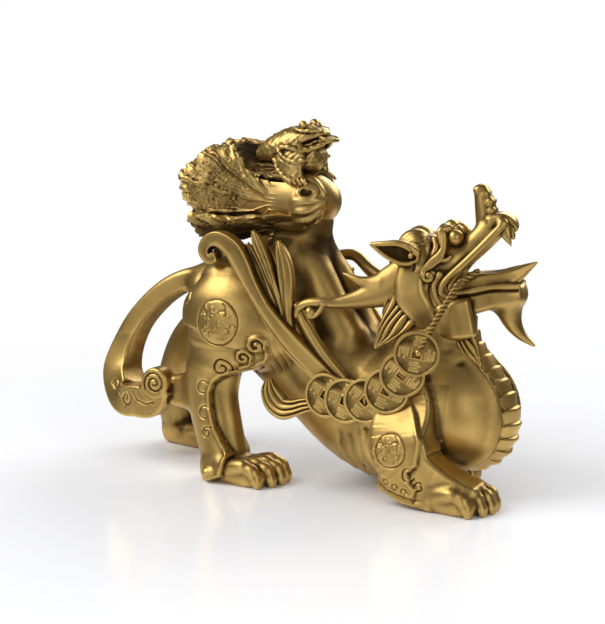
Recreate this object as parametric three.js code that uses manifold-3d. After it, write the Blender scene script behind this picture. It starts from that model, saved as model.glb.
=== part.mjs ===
// A brass money figure: a crouching winged beast with a string of coins in its mouth, a cabbage on
// its back, and a three-legged money toad on the cabbage. Millimetres, +Z up, +X towards the beast's
// head, +Y to the beast's own left. The origin is under the middle of the figure, on the ground.

import * as THREE from "three";
import { mergeVertices } from "three/addons/utils/BufferGeometryUtils.js";
import Module from "manifold-3d";

const wasm = await Module();
wasm.setup();

// Driving dimensions.
const MIDDLE_X = 6.75; // the middle of the length, in the frame that the stations below are given in
const CLEARANCE = 0.35; // gap between two castings that are fixed on each other
const BODY_SIDES = 12;
const LIMB_SIDES = 8;
const TRIM_SIDES = 4;
const HEAD_PIVOT_X = 70; // the head turns on the neck about an upright line here
const HEAD_TURN = THREE.MathUtils.degToRad(14); // towards the beast's left
const LEFT_FOREFOOT_BACK = 33; // how far the left forefoot lies behind the right one
const LEFT_HINDFOOT_BACK = 60; // how far the left hind foot lies behind the right one
const COIN_RADIUS = 10.1;
const COIN_THICKNESS = 2;
const COIN_HOLE = 3.4; // side of the square hole
const CORD_RADIUS = 1.3;
const CABBAGE_ROOT_X = 11;
const CABBAGE_AXIS_Y = 1;
const CABBAGE_AXIS_Z = 129;
const LEAF_THICKNESS = 2.6;
const LEAF_GRID = 5; // facets along and across a leaf
const THINNEST = 0.2; // the least half size of a section
const DOME_SHOULDER = 0.7; // how far out, and how wide, the ring between a limb's end and its tip is

// Finishes, one for each casting.
const brass = new THREE.MeshStandardMaterial({ color: 0xa98a3f, roughness: 0.32, metalness: 1 });
const darkBrass = new THREE.MeshStandardMaterial({ color: 0x8a6d33, roughness: 0.4, metalness: 1 });

// Makes a solid of a closed geometry.
function solid(geometry) {
  const bare = geometry.index ? geometry.toNonIndexed() : geometry.clone();
  for (const name of Object.keys(bare.attributes)) {
    if (name !== "position") bare.deleteAttribute(name);
  }
  const merged = mergeVertices(bare, 1e-4);
  return new wasm.Manifold(
    new wasm.Mesh({
      numProp: 3,
      vertProperties: new Float32Array(merged.attributes.position.array),
      triVerts: new Uint32Array(merged.index.array),
    }),
  );
}

// Joins several geometries into one solid.
function join(geometries) {
  return geometries.map(solid).reduce((whole, piece) => whole.add(piece));
}

// Turns a solid back into a geometry.
function geometryOf(made) {
  const mesh = made.getMesh();
  const points = new Float32Array(mesh.numVert * 3);
  for (let i = 0; i < mesh.numVert; i++) {
    points.set(mesh.vertProperties.subarray(i * mesh.numProp, i * mesh.numProp + 3), i * 3);
  }
  const geometry = new THREE.BufferGeometry();
  geometry.setAttribute("position", new THREE.BufferAttribute(points, 3));
  geometry.setIndex(new THREE.BufferAttribute(new Uint32Array(mesh.triVerts), 1));
  geometry.computeVertexNormals();
  return geometry;
}

// Closes a stack of rings, each with the same number of points, between two end points.
function closedRings(rings, first, last) {
  const count = rings[0].length;
  const points = [first, ...rings.flat(), last];
  const at = (ring, k) => 1 + ring * count + (k % count);
  const faces = [];
  for (let k = 0; k < count; k++) {
    faces.push(0, at(0, k + 1), at(0, k));
    for (let ring = 0; ring + 1 < rings.length; ring++) {
      faces.push(at(ring, k), at(ring, k + 1), at(ring + 1, k + 1));
      faces.push(at(ring, k), at(ring + 1, k + 1), at(ring + 1, k));
    }
    faces.push(points.length - 1, at(rings.length - 1, k), at(rings.length - 1, k + 1));
  }
  const geometry = new THREE.BufferGeometry().setFromPoints(points);
  geometry.setIndex(faces);
  return geometry;
}

// Sweeps a section along a smooth spine. A station is [x, y, z, half width, half depth], and the
// width is measured across the beast. With boxy 2 the section is an oval, and with 4 it is nearly
// a rectangle. The ends are domes, or flat where dome is 0.
function limb(stations, options = {}) {
  const { sides = LIMB_SIDES, bands = stations.length - 1, boxy = 2, dome = 0.8 } = options;
  const across = new THREE.Vector3(0, 1, 0);
  const spine = new THREE.CatmullRomCurve3(stations.map((s) => new THREE.Vector3(s[0], s[1], s[2])));
  const sizes = new THREE.CatmullRomCurve3(
    stations.map((s) => new THREE.Vector3(s[3], s[4], 0)),
    false,
    "catmullrom",
    0.5,
  );
  const bend = (value) => Math.sign(value) * Math.abs(value) ** (2 / boxy);
  const section = (t, scale, push) => {
    const along = spine.getTangent(t).normalize();
    const side = across.clone().addScaledVector(along, -across.dot(along)).normalize();
    const up = new THREE.Vector3().crossVectors(along, side);
    const size = sizes.getPoint(t);
    const centre = spine.getPoint(t).addScaledVector(along, push);
    const ring = [];
    for (let k = 0; k < sides; k++) {
      const angle = (2 * Math.PI * (k + 0.5)) / sides;
      const a = bend(Math.cos(angle)) * Math.max(size.x, THINNEST) * scale;
      const b = bend(Math.sin(angle)) * Math.max(size.y, THINNEST) * scale;
      ring.push(centre.clone().addScaledVector(side, a).addScaledVector(up, b));
    }
    return { ring, centre };
  };
  const reach = (t) => dome * Math.min(sizes.getPoint(t).x, sizes.getPoint(t).y);
  const rings = [];
  for (let i = 0; i <= bands; i++) rings.push(section(i / bands, 1, 0).ring);
  if (dome > 0) {
    rings.unshift(section(0, DOME_SHOULDER, -DOME_SHOULDER * reach(0)).ring);
    rings.push(section(1, DOME_SHOULDER, DOME_SHOULDER * reach(1)).ring);
  }
  return closedRings(rings, section(0, 1, -reach(0)).centre, section(1, 1, reach(1)).centre);
}

// A tapered point, such as a claw or a lock of hair, whose thick end is buried in its neighbour.
function spike(stations, sides = TRIM_SIDES) {
  return limb(stations, { sides, dome: 0 });
}

function ball(x, y, z, radius) {
  const sides = 7;
  const bands = 4;
  return new THREE.SphereGeometry(radius, sides, bands).translate(x, y, z);
}

// The same piece on the beast's other side.
function mirrored(geometry) {
  const copy = geometry.clone().scale(1, -1, 1);
  const index = copy.index.array;
  for (let i = 0; i < index.length; i += 3) [index[i + 1], index[i + 2]] = [index[i + 2], index[i + 1]];
  return copy;
}

function bothSides(geometries) {
  return geometries.flatMap((geometry) => [geometry, mirrored(geometry)]);
}

// The trunk runs down from the high rump to the chest, which lies nearly on the ground.
function trunk() {
  const body = limb(
    [
      [-46, 0, 84, 16, 13],
      [-33, 0, 83, 22, 22],
      [-14, 0, 75, 23, 28],
      [7, 0, 58, 22, 28],
      [34, 0, 36, 23, 28],
      [59, 0, 32, 26, 30],
      [81, 0, 39, 25, 26],
    ],
    { sides: BODY_SIDES, bands: 8, dome: 0.97 },
  );
  const neck = limb(
    [
      [60, 0, 46, 23, 22],
      [68, 0, 63, 18, 19],
      [71, 0, 80, 15, 17],
      [69, 0, 97, 13, 15],
    ],
    { bands: 2 },
  );
  const saddle = limb(
    [
      [-3, 0, 92, 15, 17],
      [-3, 0, 112, 13, 15],
    ],
    { sides: 8, dome: 0.3 },
  );
  return [body, neck, saddle];
}

// Overlapping plates down the front of the neck and chest.
function breastPlates() {
  const count = 11;
  const highest = THREE.MathUtils.degToRad(66);
  const lean = 0.25; // each plate's lower edge stands out a little
  const plates = [];
  for (let i = 0; i < count; i++) {
    const share = 1 - (2 * i) / (count - 1); // 1 at the throat, -1 under the chest
    const turn = highest * share;
    plates.push(
      new THREE.SphereGeometry(1, 6, 3)
        .scale(2.5, 10 - 2 * share * share, 4.2)
        .rotateY(lean - turn)
        .translate(83 + 24.3 * Math.cos(turn), 0, 39.5 + 26 * Math.sin(turn)),
    );
  }
  return plates;
}

// A paw with four toes, as rings of points from the heel to the claws. A crest runs along each toe,
// with a crease on each side of it. "side" is -1 on the beast's right and 1 on its left.
function paw(tipX, middleY, side) {
  // Each ring: distance behind the claws, top height, half width, depth of the creases.
  const stations = [
    [35, 6, 6.5, 0],
    [21, 10.5, 10.5, 0.4],
    [12.5, 13.2, 12.4, 2],
    [8, 10.8, 13, 2.4],
    [4, 10.4, 13, 2.6],
    [0, 2.6, 12.4, 1.6],
  ];
  const toes = 4;
  const stagger = [-5, -1.2, 1, -0.5]; // how far each claw reaches, from the outer toe inwards
  const rings = stations.map(([behind, top, half, crease], i) => {
    const forward = (i / (stations.length - 1)) ** 2;
    const ring = [];
    for (let k = 0; k <= 2 * toes; k++) {
      const toe = (k - 1) / 2;
      const crest = k % 2 === 1;
      const reach = crest
        ? stagger[toe]
        : 0.5 * (stagger[Math.floor(toe)] ?? stagger[0]) + 0.5 * (stagger[Math.ceil(toe)] ?? stagger[3]) - 3;
      const across = half * (1 - k / toes);
      const rounding = 1 - 0.3 * (1 - k / toes) ** 4;
      const edge = k === 0 || k === 2 * toes;
      const height = edge ? 0.3 * top : top * rounding - (crest ? 0 : crease);
      ring.push(new THREE.Vector3(tipX - behind + forward * reach, middleY + side * across, height));
    }
    for (const share of [-0.86, 0, 0.86]) {
      const x = tipX - behind + forward * (share ? -3 : -1.5);
      ring.push(new THREE.Vector3(x, middleY + side * share * half, 0));
    }
    return side > 0 ? ring : ring.reverse();
  });
  const heel = new THREE.Vector3(tipX - stations[0][0] - 2, middleY, 2.4);
  return closedRings(rings, heel, new THREE.Vector3(tipX - 1.5, middleY, 1));
}

// A hind leg: the broad haunch narrows to a straight shank above the foot. "back" is how far
// behind the right hind foot this one is stretched.
function hindLeg(side, back) {
  const y = (offset) => side * offset;
  // Each station ends with its share of the stretch, from the haunch down to the foot.
  const stations = [
    [-29, 15, 92, 12, 15, 0.03],
    [-27, 18.5, 80, 15.5, 25, 0.17],
    [-25.5, 20, 66, 14.5, 25, 0.4],
    [-33.5, 21.5, 51, 12, 14, 0.63],
    [-34.5, 23, 38, 10.5, 11.5, 0.77],
    [-29.5, 25, 24, 9.5, 10.7, 0.92],
    [-24, 27, 9, 9.5, 10.5, 1],
  ].map(([x, offset, z, width, depth, share]) => [x - back * share, y(offset), z, width, depth]);
  const spur = spike([
    [-16 - back, y(34), 6, 3, 2.8],
    [-28 - back, y(38), 4.6, 0.6, 0.6],
  ]);
  return [
    limb(stations, { sides: BODY_SIDES, bands: 8, dome: 0.9 }),
    spur,
    paw(5 - back, y(28), side),
  ];
}

// A curl of fur: a flat spiral that lies in a plane facing the beast's side.
function curl(x, y, z, radius, thickness) {
  const count = 5;
  const start = THREE.MathUtils.degToRad(-70);
  const turn = THREE.MathUtils.degToRad(306);
  const stations = [];
  for (let i = 0; i <= count; i++) {
    const t = i / count;
    const angle = start + turn * t;
    const reach = radius * (1 - 0.75 * t);
    const size = thickness * (1 - 0.3 * t);
    stations.push([x + reach * Math.cos(angle), y, z + reach * Math.sin(angle), size, size]);
  }
  return limb(stations, { sides: TRIM_SIDES });
}

// The edge of the fur on the right haunch ends in two curls.
function haunchFringe() {
  return [curl(-8.5, -31, 62.5, 6.5, 2), curl(-19, -32.6, 56.5, 4.6, 1.6)];
}

// A foreleg folded on the ground: a flat upper arm, a forearm with a sharp ridge, and the paw.
// "back" is how far behind the right forefoot this one lies.
function foreleg(side, back) {
  const y = (offset) => side * offset;
  const arm = limb(
    [
      [63, y(16), 51, 10, 12],
      [68 - 0.3 * back, y(20.4), 42, 8.5, 13],
      [69.5 - 0.8 * back, y(29), 28, 8.5, 13.5],
      [76 - back, y(30.5), 17, 8, 12],
      [88 - back, y(30), 11.5, 8, 9],
      [99 - back, y(28.5), 8, 9, 7],
    ],
    { bands: 7, boxy: 2.8 },
  );
  const fringe = limb(
    [
      [58 - back, y(29), 10.5, 7, 5],
      [70 - back, y(31), 5.4, 6, 4],
      [82 - back, y(33), 4.2, 5, 3.4],
    ],
    { sides: 6, boxy: 3 },
  );
  const spur = spike([
    [90 - back, y(34), 5, 3, 2.8],
    [79 - back, y(38), 3.4, 0.8, 0.8],
  ]);
  return [arm, fringe, spur, paw(111 - back, y(28), side)];
}

// The tail leaves the rump, swings back and down, and ends in a scroll against the right hind leg.
function tail() {
  return limb(
    [
      [-40, 0, 88, 9, 7],
      [-56, 0, 88, 8.5, 5.5],
      [-71, -2, 81.5, 8, 5],
      [-85, -4, 68, 8, 4.8],
      [-93, -5, 54, 8, 5],
      [-94, -9, 41, 8, 6.4],
      [-86, -15, 31, 8, 7.5],
      [-73, -19, 29, 8, 7.5],
      [-58, -20, 31, 8, 6.5],
      [-51.5, -20, 38, 8, 5.6],
      [-57.5, -20, 45, 8, 4.4],
      [-65, -20, 41, 7.5, 3.2],
    ],
    { bands: 14, boxy: 3.4 },
  );
}

// A pointed feather from its foot to its tip.
function feather(foot, tip, width) {
  const at = (t) => foot.map((value, k) => value + (tip[k] - value) * t);
  return spike([[...at(0), 2.6, width * 0.8], [...at(0.5), 2.8, width], [...at(1), 0.9, 0.8]], 6);
}

// A wing lies along the flank: a long band that ends in a scroll, and pointed feathers beside it.
// The left wing has fewer feathers, and they are lower.
function wing(side) {
  const low = side > 0 ? 10 : 0;
  const y = (offset) => side * offset;
  const band = limb(
    [
      [36, y(23.5), 42, 3, 4],
      [27, y(26.5), 52, 3, 4.3],
      [14.5, y(29.5), 68, 3, 4.3],
      [2, y(29), 88, 3, 4.3],
      [-8, y(27.5), 103, 3, 3.8],
      [-20, y(27), 111.5, 3, 2.8],
      [-31.5, y(27), 109, 3, 2.4],
      [-35, y(27), 102, 3, 2.4],
      [-30, y(27), 98, 2.8, 2.2],
      [-27, y(27), 102, 2.4, 1.6],
    ],
    { sides: 6, bands: 12, boxy: 2.6 },
  );
  const feathers = [
    feather([15, y(27), 70], [-13, y(22.5), 114 - low], 3.6),
    feather([38, y(23), 46], [14, y(25.5), 84 - low], 5),
  ];
  if (side < 0) feathers.push(feather([20, y(27), 64], [1, y(23), 110], 4));
  return [band, ...feathers];
}

// The skull, jaws, nose, eyes, ears and hair, in the frame of a head that looks straight ahead.
function headPieces() {
  const skull = limb(
    [
      [56, 0, 104.6, 10.6, 10.4],
      [65, 0, 105.5, 12.8, 11.8],
      [76, 0, 106.5, 11.5, 9],
    ],
    { sides: 9, dome: 0.6 },
  );
  const snout = limb(
    [
      [73, 0, 101, 12.5, 8],
      [83, 0, 107, 10.5, 6],
      [90, 0, 117, 8.5, 5.6],
      [98, 0, 122.3, 7.5, 4.6],
      [102, 0, 121.2, 5.5, 3.4],
    ],
    { boxy: 2.6 },
  );
  const knob = limb(
    [
      [91, 0, 122, 4.8, 4.6],
      [89.5, 0, 136.2, 4, 3.6],
    ],
    { sides: 7 },
  );
  const jaw = limb(
    [
      [68, 0, 86, 15, 12],
      [82, 0, 87, 12.5, 7],
      [95, 0, 91, 9.6, 4.6],
      [107, 0, 93, 6, 4.6],
    ],
    { boxy: 2.8 },
  );
  const tongue = spike(
    [
      [84, 0, 97, 8, 3.4],
      [97, 0, 99.5, 7, 3.4],
      [106, 0, 102, 5, 2.4],
      [114, 0, 105.8, 0.8, 0.6],
    ],
    6,
  );
  const goatee = spike(
    [
      [102, 0, 90, 8, 7.5],
      [102, 0, 81, 5.6, 5.4],
      [105.5, 0, 74, 3.8, 3.6],
      [111, 0, 70.2, 2, 1.8],
      [115, 0, 68.6, 0.5, 0.5],
    ],
    7,
  );
  const eye = ball(78, -8.6, 115, 4);
  const brow = ball(73.3, -6.6, 117.6, 4.3);
  const cheek = limb(
    [
      [59, -12, 102, 5, 7.5],
      [61, -14, 91, 5, 9],
      [67, -13.5, 79, 5, 8],
      [73, -12, 72, 3, 4],
    ],
    { sides: 6 },
  );
  const jawPlate = limb(
    [
      [78, -11, 80.5, 5.5, 6.4],
      [87, -9, 82, 4.5, 6],
    ],
    { sides: 4, boxy: 4, dome: 0.3 },
  );
  const lip = spike([
    [75, -13.4, 90, 1.8, 1.8],
    [79, -12.6, 98.5, 1.8, 1.8],
    [88, -9.8, 107.5, 1.7, 1.7],
    [97, -8, 119.5, 1.5, 1.5],
  ]);
  const fang = spike([
    [99.5, -5.6, 121, 2, 2.6],
    [104, -5.6, 114.2, 0.3, 0.3],
  ]);
  // The left ear lies lower than the right one.
  const ears = [-1, 1].map((side) =>
    spike(
      [
        [63, side * 12.6, 108, 3, 5],
        [54.5, side * 16, side < 0 ? 111.5 : 106, 3, 5.6],
        [side < 0 ? 44 : 47, side * 18, side < 0 ? 115 : 105, 0.5, 0.5],
      ],
      6,
    ),
  );
  // Locks of hair: a beard under the corner of the jaw, and a mane behind the cheek.
  const locks = [];
  for (const spread of [-1, 1]) {
    locks.push(
      spike([
        [84 + 3.5 * spread, -11.6 + spread, 76, 3, 4.4],
        [93 + spread, -6, 53.5 + spread, 0.7, 0.7],
      ]),
      spike([
        [61 - 3 * spread, -13.4 + 0.6 * spread, 79.5 + 5 * spread, 3.6, 6.4],
        [45 + 0.5 * spread, -17.6, 68 + 1.4 * spread, 0.7, 0.8],
      ]),
    );
  }
  const paired = [eye, brow, cheek, jawPlate, lip, fang, ...locks];
  return [skull, snout, knob, jaw, tongue, goatee, ...ears, ...bothSides(paired)];
}

// A head piece in its real place: the head is turned a little to the beast's left.
function turned(geometry) {
  const copy = geometry.index ? geometry.clone() : mergeVertices(geometry.clone());
  return copy
    .translate(-HEAD_PIVOT_X, 0, 0)
    .rotateZ(HEAD_TURN)
    .translate(HEAD_PIVOT_X, 0, 0);
}

// The horns sweep back from the head. Each ends in a small cloud scroll, and the right one shows a
// prong.
function horns() {
  const right = limb(
    [
      [60, -10, 98, 5, 9],
      [51, -13.5, 92, 4.6, 7.5],
      [41, -17.5, 88, 3.8, 4.6],
      [30, -22, 86, 3, 2.6],
      [22, -25.5, 86.5, 2.4, 2],
      [16, -27, 84, 2.6, 2.8],
    ],
    { sides: 6, bands: 7 },
  );
  const prong = spike([
    [47, -15, 91, 3.2, 4],
    [40, -17, 95, 2.4, 2.8],
    [33, -18.5, 98.4, 0.5, 0.5],
  ]);
  const left = limb(
    [
      [58, 8, 98, 5, 9],
      [47, 12, 93, 4.4, 6],
      [36, 15.5, 91, 3.6, 4],
      [26, 18, 95, 3, 3],
      [17, 19.5, 101, 3, 2.6],
      [8, 20, 100, 3, 2.4],
      [8, 20, 94.5, 3, 2.2],
      [14, 20, 94, 3, 2],
    ],
    { sides: 6, bands: 8 },
  );
  return [right, prong, left];
}

// The beast is one casting.
function beast() {
  const pieces = [
    ...trunk(),
    ...breastPlates(),
    ...hindLeg(-1, 0),
    ...hindLeg(1, LEFT_HINDFOOT_BACK),
    ...haunchFringe(),
    ...foreleg(-1, 0),
    ...foreleg(1, LEFT_FOREFOOT_BACK),
    tail(),
    ...wing(-1),
    ...wing(1),
    ...horns(),
    ...headPieces().map(turned),
  ];
  return join(pieces);
}

// A sheet of even thickness over a square grid of points, closed all round. "pointAt" takes u from
// 0 to 1 along the sheet and v from -1 to 1 across it.
function sheet(pointAt, grid, thickness) {
  const outer = [];
  const inner = [];
  const step = 1e-3;
  for (let i = 0; i <= grid; i++) {
    for (let j = 0; j <= grid; j++) {
      const u = i / grid;
      const v = (2 * j) / grid - 1;
      const point = pointAt(u, v);
      const du = pointAt(u + step, v).sub(pointAt(u - step, v));
      const dv = pointAt(u, v + step).sub(pointAt(u, v - step));
      const normal = du.cross(dv).normalize();
      outer.push(point.clone().addScaledVector(normal, thickness / 2));
      inner.push(point.clone().addScaledVector(normal, -thickness / 2));
    }
  }
  const row = grid + 1;
  const back = outer.length;
  const faces = [];
  const quad = (a, b, c, d) => faces.push(a, b, c, a, c, d);
  for (let i = 0; i < grid; i++) {
    for (let j = 0; j < grid; j++) {
      const a = i * row + j;
      quad(a, a + row, a + row + 1, a + 1);
      quad(back + a, back + a + 1, back + a + row + 1, back + a + row);
    }
    const start = i * row;
    const end = start + grid;
    quad(start, back + start, back + start + row, start + row);
    quad(end, end + row, back + end + row, back + end);
  }
  for (let j = 0; j < grid; j++) {
    const far = grid * row + j;
    quad(j, j + 1, back + j + 1, back + j);
    quad(far, back + far, back + far + 1, far + 1);
  }
  const geometry = new THREE.BufferGeometry().setFromPoints([...outer, ...inner]);
  geometry.setIndex(faces);
  return geometry;
}

// One cabbage leaf, wrapped round the cabbage's own axis. "turn" is the direction of its rib in
// degrees, and "tip" the x of its end. It spreads from a narrow stalk into a wide ruffled blade.
function leaf({ turn, tip, spread, flare, lift = 0, base = 12.5 }) {
  const stalkSpread = 34; // degrees to each side of the rib
  const surface = (u, v) => {
    const blade = THREE.MathUtils.smoothstep(u, 0.3, 1);
    const angle = THREE.MathUtils.degToRad(turn + v * (stalkSpread + spread * blade));
    const edge = Math.abs(v) ** 3 * blade + THREE.MathUtils.smoothstep(u, 0.85, 1);
    const ruffle = 1.2 * edge * Math.sin(v * 11 + u * 9);
    const radius = base + flare * blade ** 1.4 + ruffle;
    const reach = tip * (1 - 0.13 * v * v * blade);
    return new THREE.Vector3(
      THREE.MathUtils.lerp(CABBAGE_ROOT_X, reach, u),
      CABBAGE_AXIS_Y + radius * Math.cos(angle),
      CABBAGE_AXIS_Z + lift * blade + radius * Math.sin(angle),
    );
  };
  return sheet(surface, LEAF_GRID, LEAF_THICKNESS);
}

// The cabbage lies along the beast's back with its root end forward.
function cabbage() {
  const heart = limb(
    [
      [-44, CABBAGE_AXIS_Y, CABBAGE_AXIS_Z, 9, 9],
      [-30, CABBAGE_AXIS_Y, CABBAGE_AXIS_Z - 1, 11, 11],
      [-8, CABBAGE_AXIS_Y, CABBAGE_AXIS_Z - 2, 12, 12],
      [6, CABBAGE_AXIS_Y, CABBAGE_AXIS_Z - 1, 13, 13.5],
    ],
    { sides: BODY_SIDES, dome: 0.95 },
  );
  return join([
    heart,
    leaf({ turn: 178, tip: -53, spread: 28, flare: 9, lift: 3 }),
    leaf({ turn: 8, tip: -51, spread: 26, flare: 9, lift: 4 }),
    leaf({ turn: 262, tip: -47, spread: 14, flare: 3, base: 11.8 }),
    leaf({ turn: 88, tip: -40, spread: 2, flare: 1, base: 11.8 }),
  ]);
}

// The toad sits up on the cabbage with a coin in its mouth.
function toad() {
  const body = limb(
    [
      [-19, 0, 145, 7, 5],
      [-10, 0, 149, 10.5, 8],
      [1, 0, 153, 9.5, 8.5],
      [8, 0, 158, 7, 5],
      [12, 0, 158.5, 4.5, 3],
    ],
    { sides: 7 },
  );
  const belly = limb(
    [
      [-5, 0, 147.5, 9, 6.6],
      [6, 0, 148.5, 8, 7.6],
    ],
    { sides: 7 },
  );
  const paired = [
    ball(5.5, -5.4, 162.5, 2.6),
    limb(
      [
        [4, -7, 150, 3.6, 3.4],
        [2, -11.5, 144, 2.8, 2.8],
        [5, -12.5, 138.5, 3.2, 2.4],
      ],
      { sides: TRIM_SIDES },
    ),
  ];
  const hindFoot = limb(
    [
      [-14, -7, 147, 4, 5],
      [-7, -12.5, 149, 3.6, 4.4],
      [-11, -13, 142.5, 3, 3],
      [-4, -14, 138.5, 3, 2],
    ],
    { sides: TRIM_SIDES },
  );
  // The coin lies flat between the lips, and dips a little to the front.
  const coin = new THREE.CylinderGeometry(5.2, 5.2, 1.8, 12)
    .rotateX(THREE.MathUtils.degToRad(90))
    .rotateY(THREE.MathUtils.degToRad(10))
    .translate(13.4, 0, 157);
  return join([body, belly, ...bothSides([...paired, hindFoot]), coin]);
}

// One cash coin with a square hole, facing +Z at the origin.
function cashCoin() {
  const half = COIN_HOLE / 2;
  const corners = [[-half, -half], [-half, half], [half, half], [half, -half]];
  const face = new THREE.Shape().absarc(0, 0, COIN_RADIUS, 0, 2 * Math.PI);
  face.holes.push(new THREE.Path(corners.map(([x, y]) => new THREE.Vector2(x, y))));
  return new THREE.ExtrudeGeometry(face, {
    depth: COIN_THICKNESS,
    bevelEnabled: false,
    curveSegments: 7,
  }).translate(0, 0, -COIN_THICKNESS / 2);
}

// Where the coins lie, from the one under the mouth to the one by the tassel, and how far each
// face turns from the beast's right side towards its front, in degrees.
const COIN_PLACES = [
  [75, -30.6, 68.5, 26],
  [68.7, -31.8, 58.8, 20],
  [61.4, -32.6, 51, 14],
  [51.2, -33.1, 45.6, 8],
  [40.9, -32.9, 44.4, 4],
  [30.5, -32, 45.6, 2],
];

// The string of coins, its cord and its tassel are one casting, fixed to the beast's right side.
function coinString() {
  const coins = COIN_PLACES.map(([x, y, z, turn]) =>
    cashCoin()
      .rotateX(Math.PI / 2)
      .rotateZ(THREE.MathUtils.degToRad(turn))
      .translate(x, y, z),
  );
  const cord = limb(
    [
      [86.5, -6.6, 98.8, CORD_RADIUS, CORD_RADIUS],
      [85.4, -14, 95.5, CORD_RADIUS, CORD_RADIUS],
      [81.5, -23.5, 84, CORD_RADIUS, CORD_RADIUS],
      [76.5, -31, 70, CORD_RADIUS, CORD_RADIUS],
    ],
    { sides: 6, bands: 4 },
  );
  const tassel = limb(
    [
      [27, -31.5, 42.5, 2.4, 2.6],
      [18, -32, 38.5, 2.8, 3.4],
      [10, -32, 35.5, 3.2, 5.2],
      [3.5, -31.5, 39.5, 3, 6],
      [0, -31, 47, 2, 4.2],
      [1.5, -31, 52, 1, 1.4],
    ],
    { bands: 7 },
  );
  return join([...coins, cord, tassel]);
}

// One named part of the figure.
function part(name, made, material) {
  const mesh = new THREE.Mesh(geometryOf(made), material);
  mesh.name = name;
  return mesh;
}

const beastSolid = beast();
const cabbageSolid = cabbage().subtract(beastSolid.translate([0, 0, CLEARANCE]));
const toadSolid = toad().subtract(cabbageSolid.translate([0, 0, CLEARANCE]));
const coinSolid = coinString();

const figure = new THREE.Group();
figure.add(
  part("pixiu", beastSolid, brass),
  part("cabbage", cabbageSolid, darkBrass),
  part("money_toad", toadSolid, darkBrass),
  part("coin_string", coinSolid, brass),
);
figure.position.set(-MIDDLE_X, 0, 0);

export default figure;
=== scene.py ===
# A brass ornament: a crouching winged beast with a string of coins in its mouth, a cabbage on its
# back, and a money toad on the cabbage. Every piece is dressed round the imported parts.

import math

import bpy
import numpy as np
import openvdb
from mathutils import Matrix, Vector, noise


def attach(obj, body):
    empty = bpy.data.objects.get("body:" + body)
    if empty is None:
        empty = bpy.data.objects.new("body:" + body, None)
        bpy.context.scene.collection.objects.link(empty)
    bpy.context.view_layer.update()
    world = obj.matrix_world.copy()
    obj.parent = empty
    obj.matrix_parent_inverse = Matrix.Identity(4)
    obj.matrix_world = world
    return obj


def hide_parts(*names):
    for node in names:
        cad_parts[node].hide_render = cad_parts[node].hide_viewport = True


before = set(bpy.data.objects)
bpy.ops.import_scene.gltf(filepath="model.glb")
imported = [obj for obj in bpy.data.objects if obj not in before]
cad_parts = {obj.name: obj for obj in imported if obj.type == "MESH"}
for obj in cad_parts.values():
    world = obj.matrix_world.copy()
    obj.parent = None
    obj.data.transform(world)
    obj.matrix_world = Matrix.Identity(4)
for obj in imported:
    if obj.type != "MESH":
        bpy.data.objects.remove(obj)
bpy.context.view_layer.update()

# The studio.
# The figure stands on a pale, slightly glossy table in front of white. The camera looks at its right
# side from a little in front, and large soft lamps hang above it, in front of it and behind it.

MM = 0.001
MIDDLE_X = 6.75  # the forms below are given in mm, from a point this far behind the figure's middle
TO_ORIGIN = Matrix.Translation((MIDDLE_X * MM, 0, 0))
LOOK_AT = Vector((-MIDDLE_X, 0, 76)) * MM
CAMERA_AZIMUTH = math.radians(30)
CAMERA_ELEVATION = math.radians(9.7)
CAMERA_DISTANCE = 1.1
LENS = 137.7


def aim(thing, place, target):
    thing.location = place
    thing.rotation_euler = (Vector(target) - Vector(place)).to_track_quat("-Z", "Y").to_euler()
    bpy.context.scene.collection.objects.link(thing)


camera = bpy.data.objects.new("camera", bpy.data.cameras.new("camera"))
towards_camera = Vector(
    (
        math.sin(CAMERA_AZIMUTH) * math.cos(CAMERA_ELEVATION),
        -math.cos(CAMERA_AZIMUTH) * math.cos(CAMERA_ELEVATION),
        math.sin(CAMERA_ELEVATION),
    )
)
aim(camera, LOOK_AT + towards_camera * CAMERA_DISTANCE, LOOK_AT)
camera.data.lens = LENS
camera.data.clip_start = 0.01
bpy.context.scene.camera = camera


def soft_lamp(name, place, width, height, watts, colour=(1, 1, 1)):
    lamp = bpy.data.lights.new(name, "AREA")
    lamp.shape = "RECTANGLE"
    lamp.size, lamp.size_y = width, height
    lamp.energy = watts
    lamp.color = colour
    aim(bpy.data.objects.new(name, lamp), place, (0, 0, 0.07))


soft_lamp("lamp_above_left", (-0.55, -0.45, 0.75), 0.75, 0.65, 7.4)
soft_lamp("lamp_front_right", (0.75, -0.55, 0.35), 0.5, 0.7, 1.8)
soft_lamp("lamp_behind", (0.1, 0.8, 0.55), 0.9, 0.4, 6)
soft_lamp("lamp_by_camera", (-0.2, -1.05, 0.25), 0.7, 0.6, 1.7)

world = bpy.data.worlds.new("studio")
world.use_nodes = True
bpy.context.scene.world = world
nodes, links = world.node_tree.nodes, world.node_tree.links
path = nodes.new("ShaderNodeLightPath")
shown = nodes["Background"].outputs[0]
# What the camera sees, what lights the table, and the dimmer room that the brass reflects.
for ray, colour, strength in (
    ("", (1, 0.93, 0.8), 0.12),
    ("Is Diffuse Ray", (0.96, 0.98, 1), 0.6),
    ("Is Camera Ray", (1, 1, 1), 1),
):
    background = nodes.new("ShaderNodeBackground") if ray else nodes["Background"]
    background.inputs["Color"].default_value = (*colour, 1)
    background.inputs["Strength"].default_value = strength
    if ray:
        choose = nodes.new("ShaderNodeMixShader")
        links.new(path.outputs[ray], choose.inputs["Fac"])
        links.new(shown, choose.inputs[1])
        links.new(background.outputs[0], choose.inputs[2])
        shown = choose.outputs[0]
links.new(shown, nodes["World Output"].inputs["Surface"])
bpy.context.scene.view_settings.view_transform = "Standard"

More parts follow.
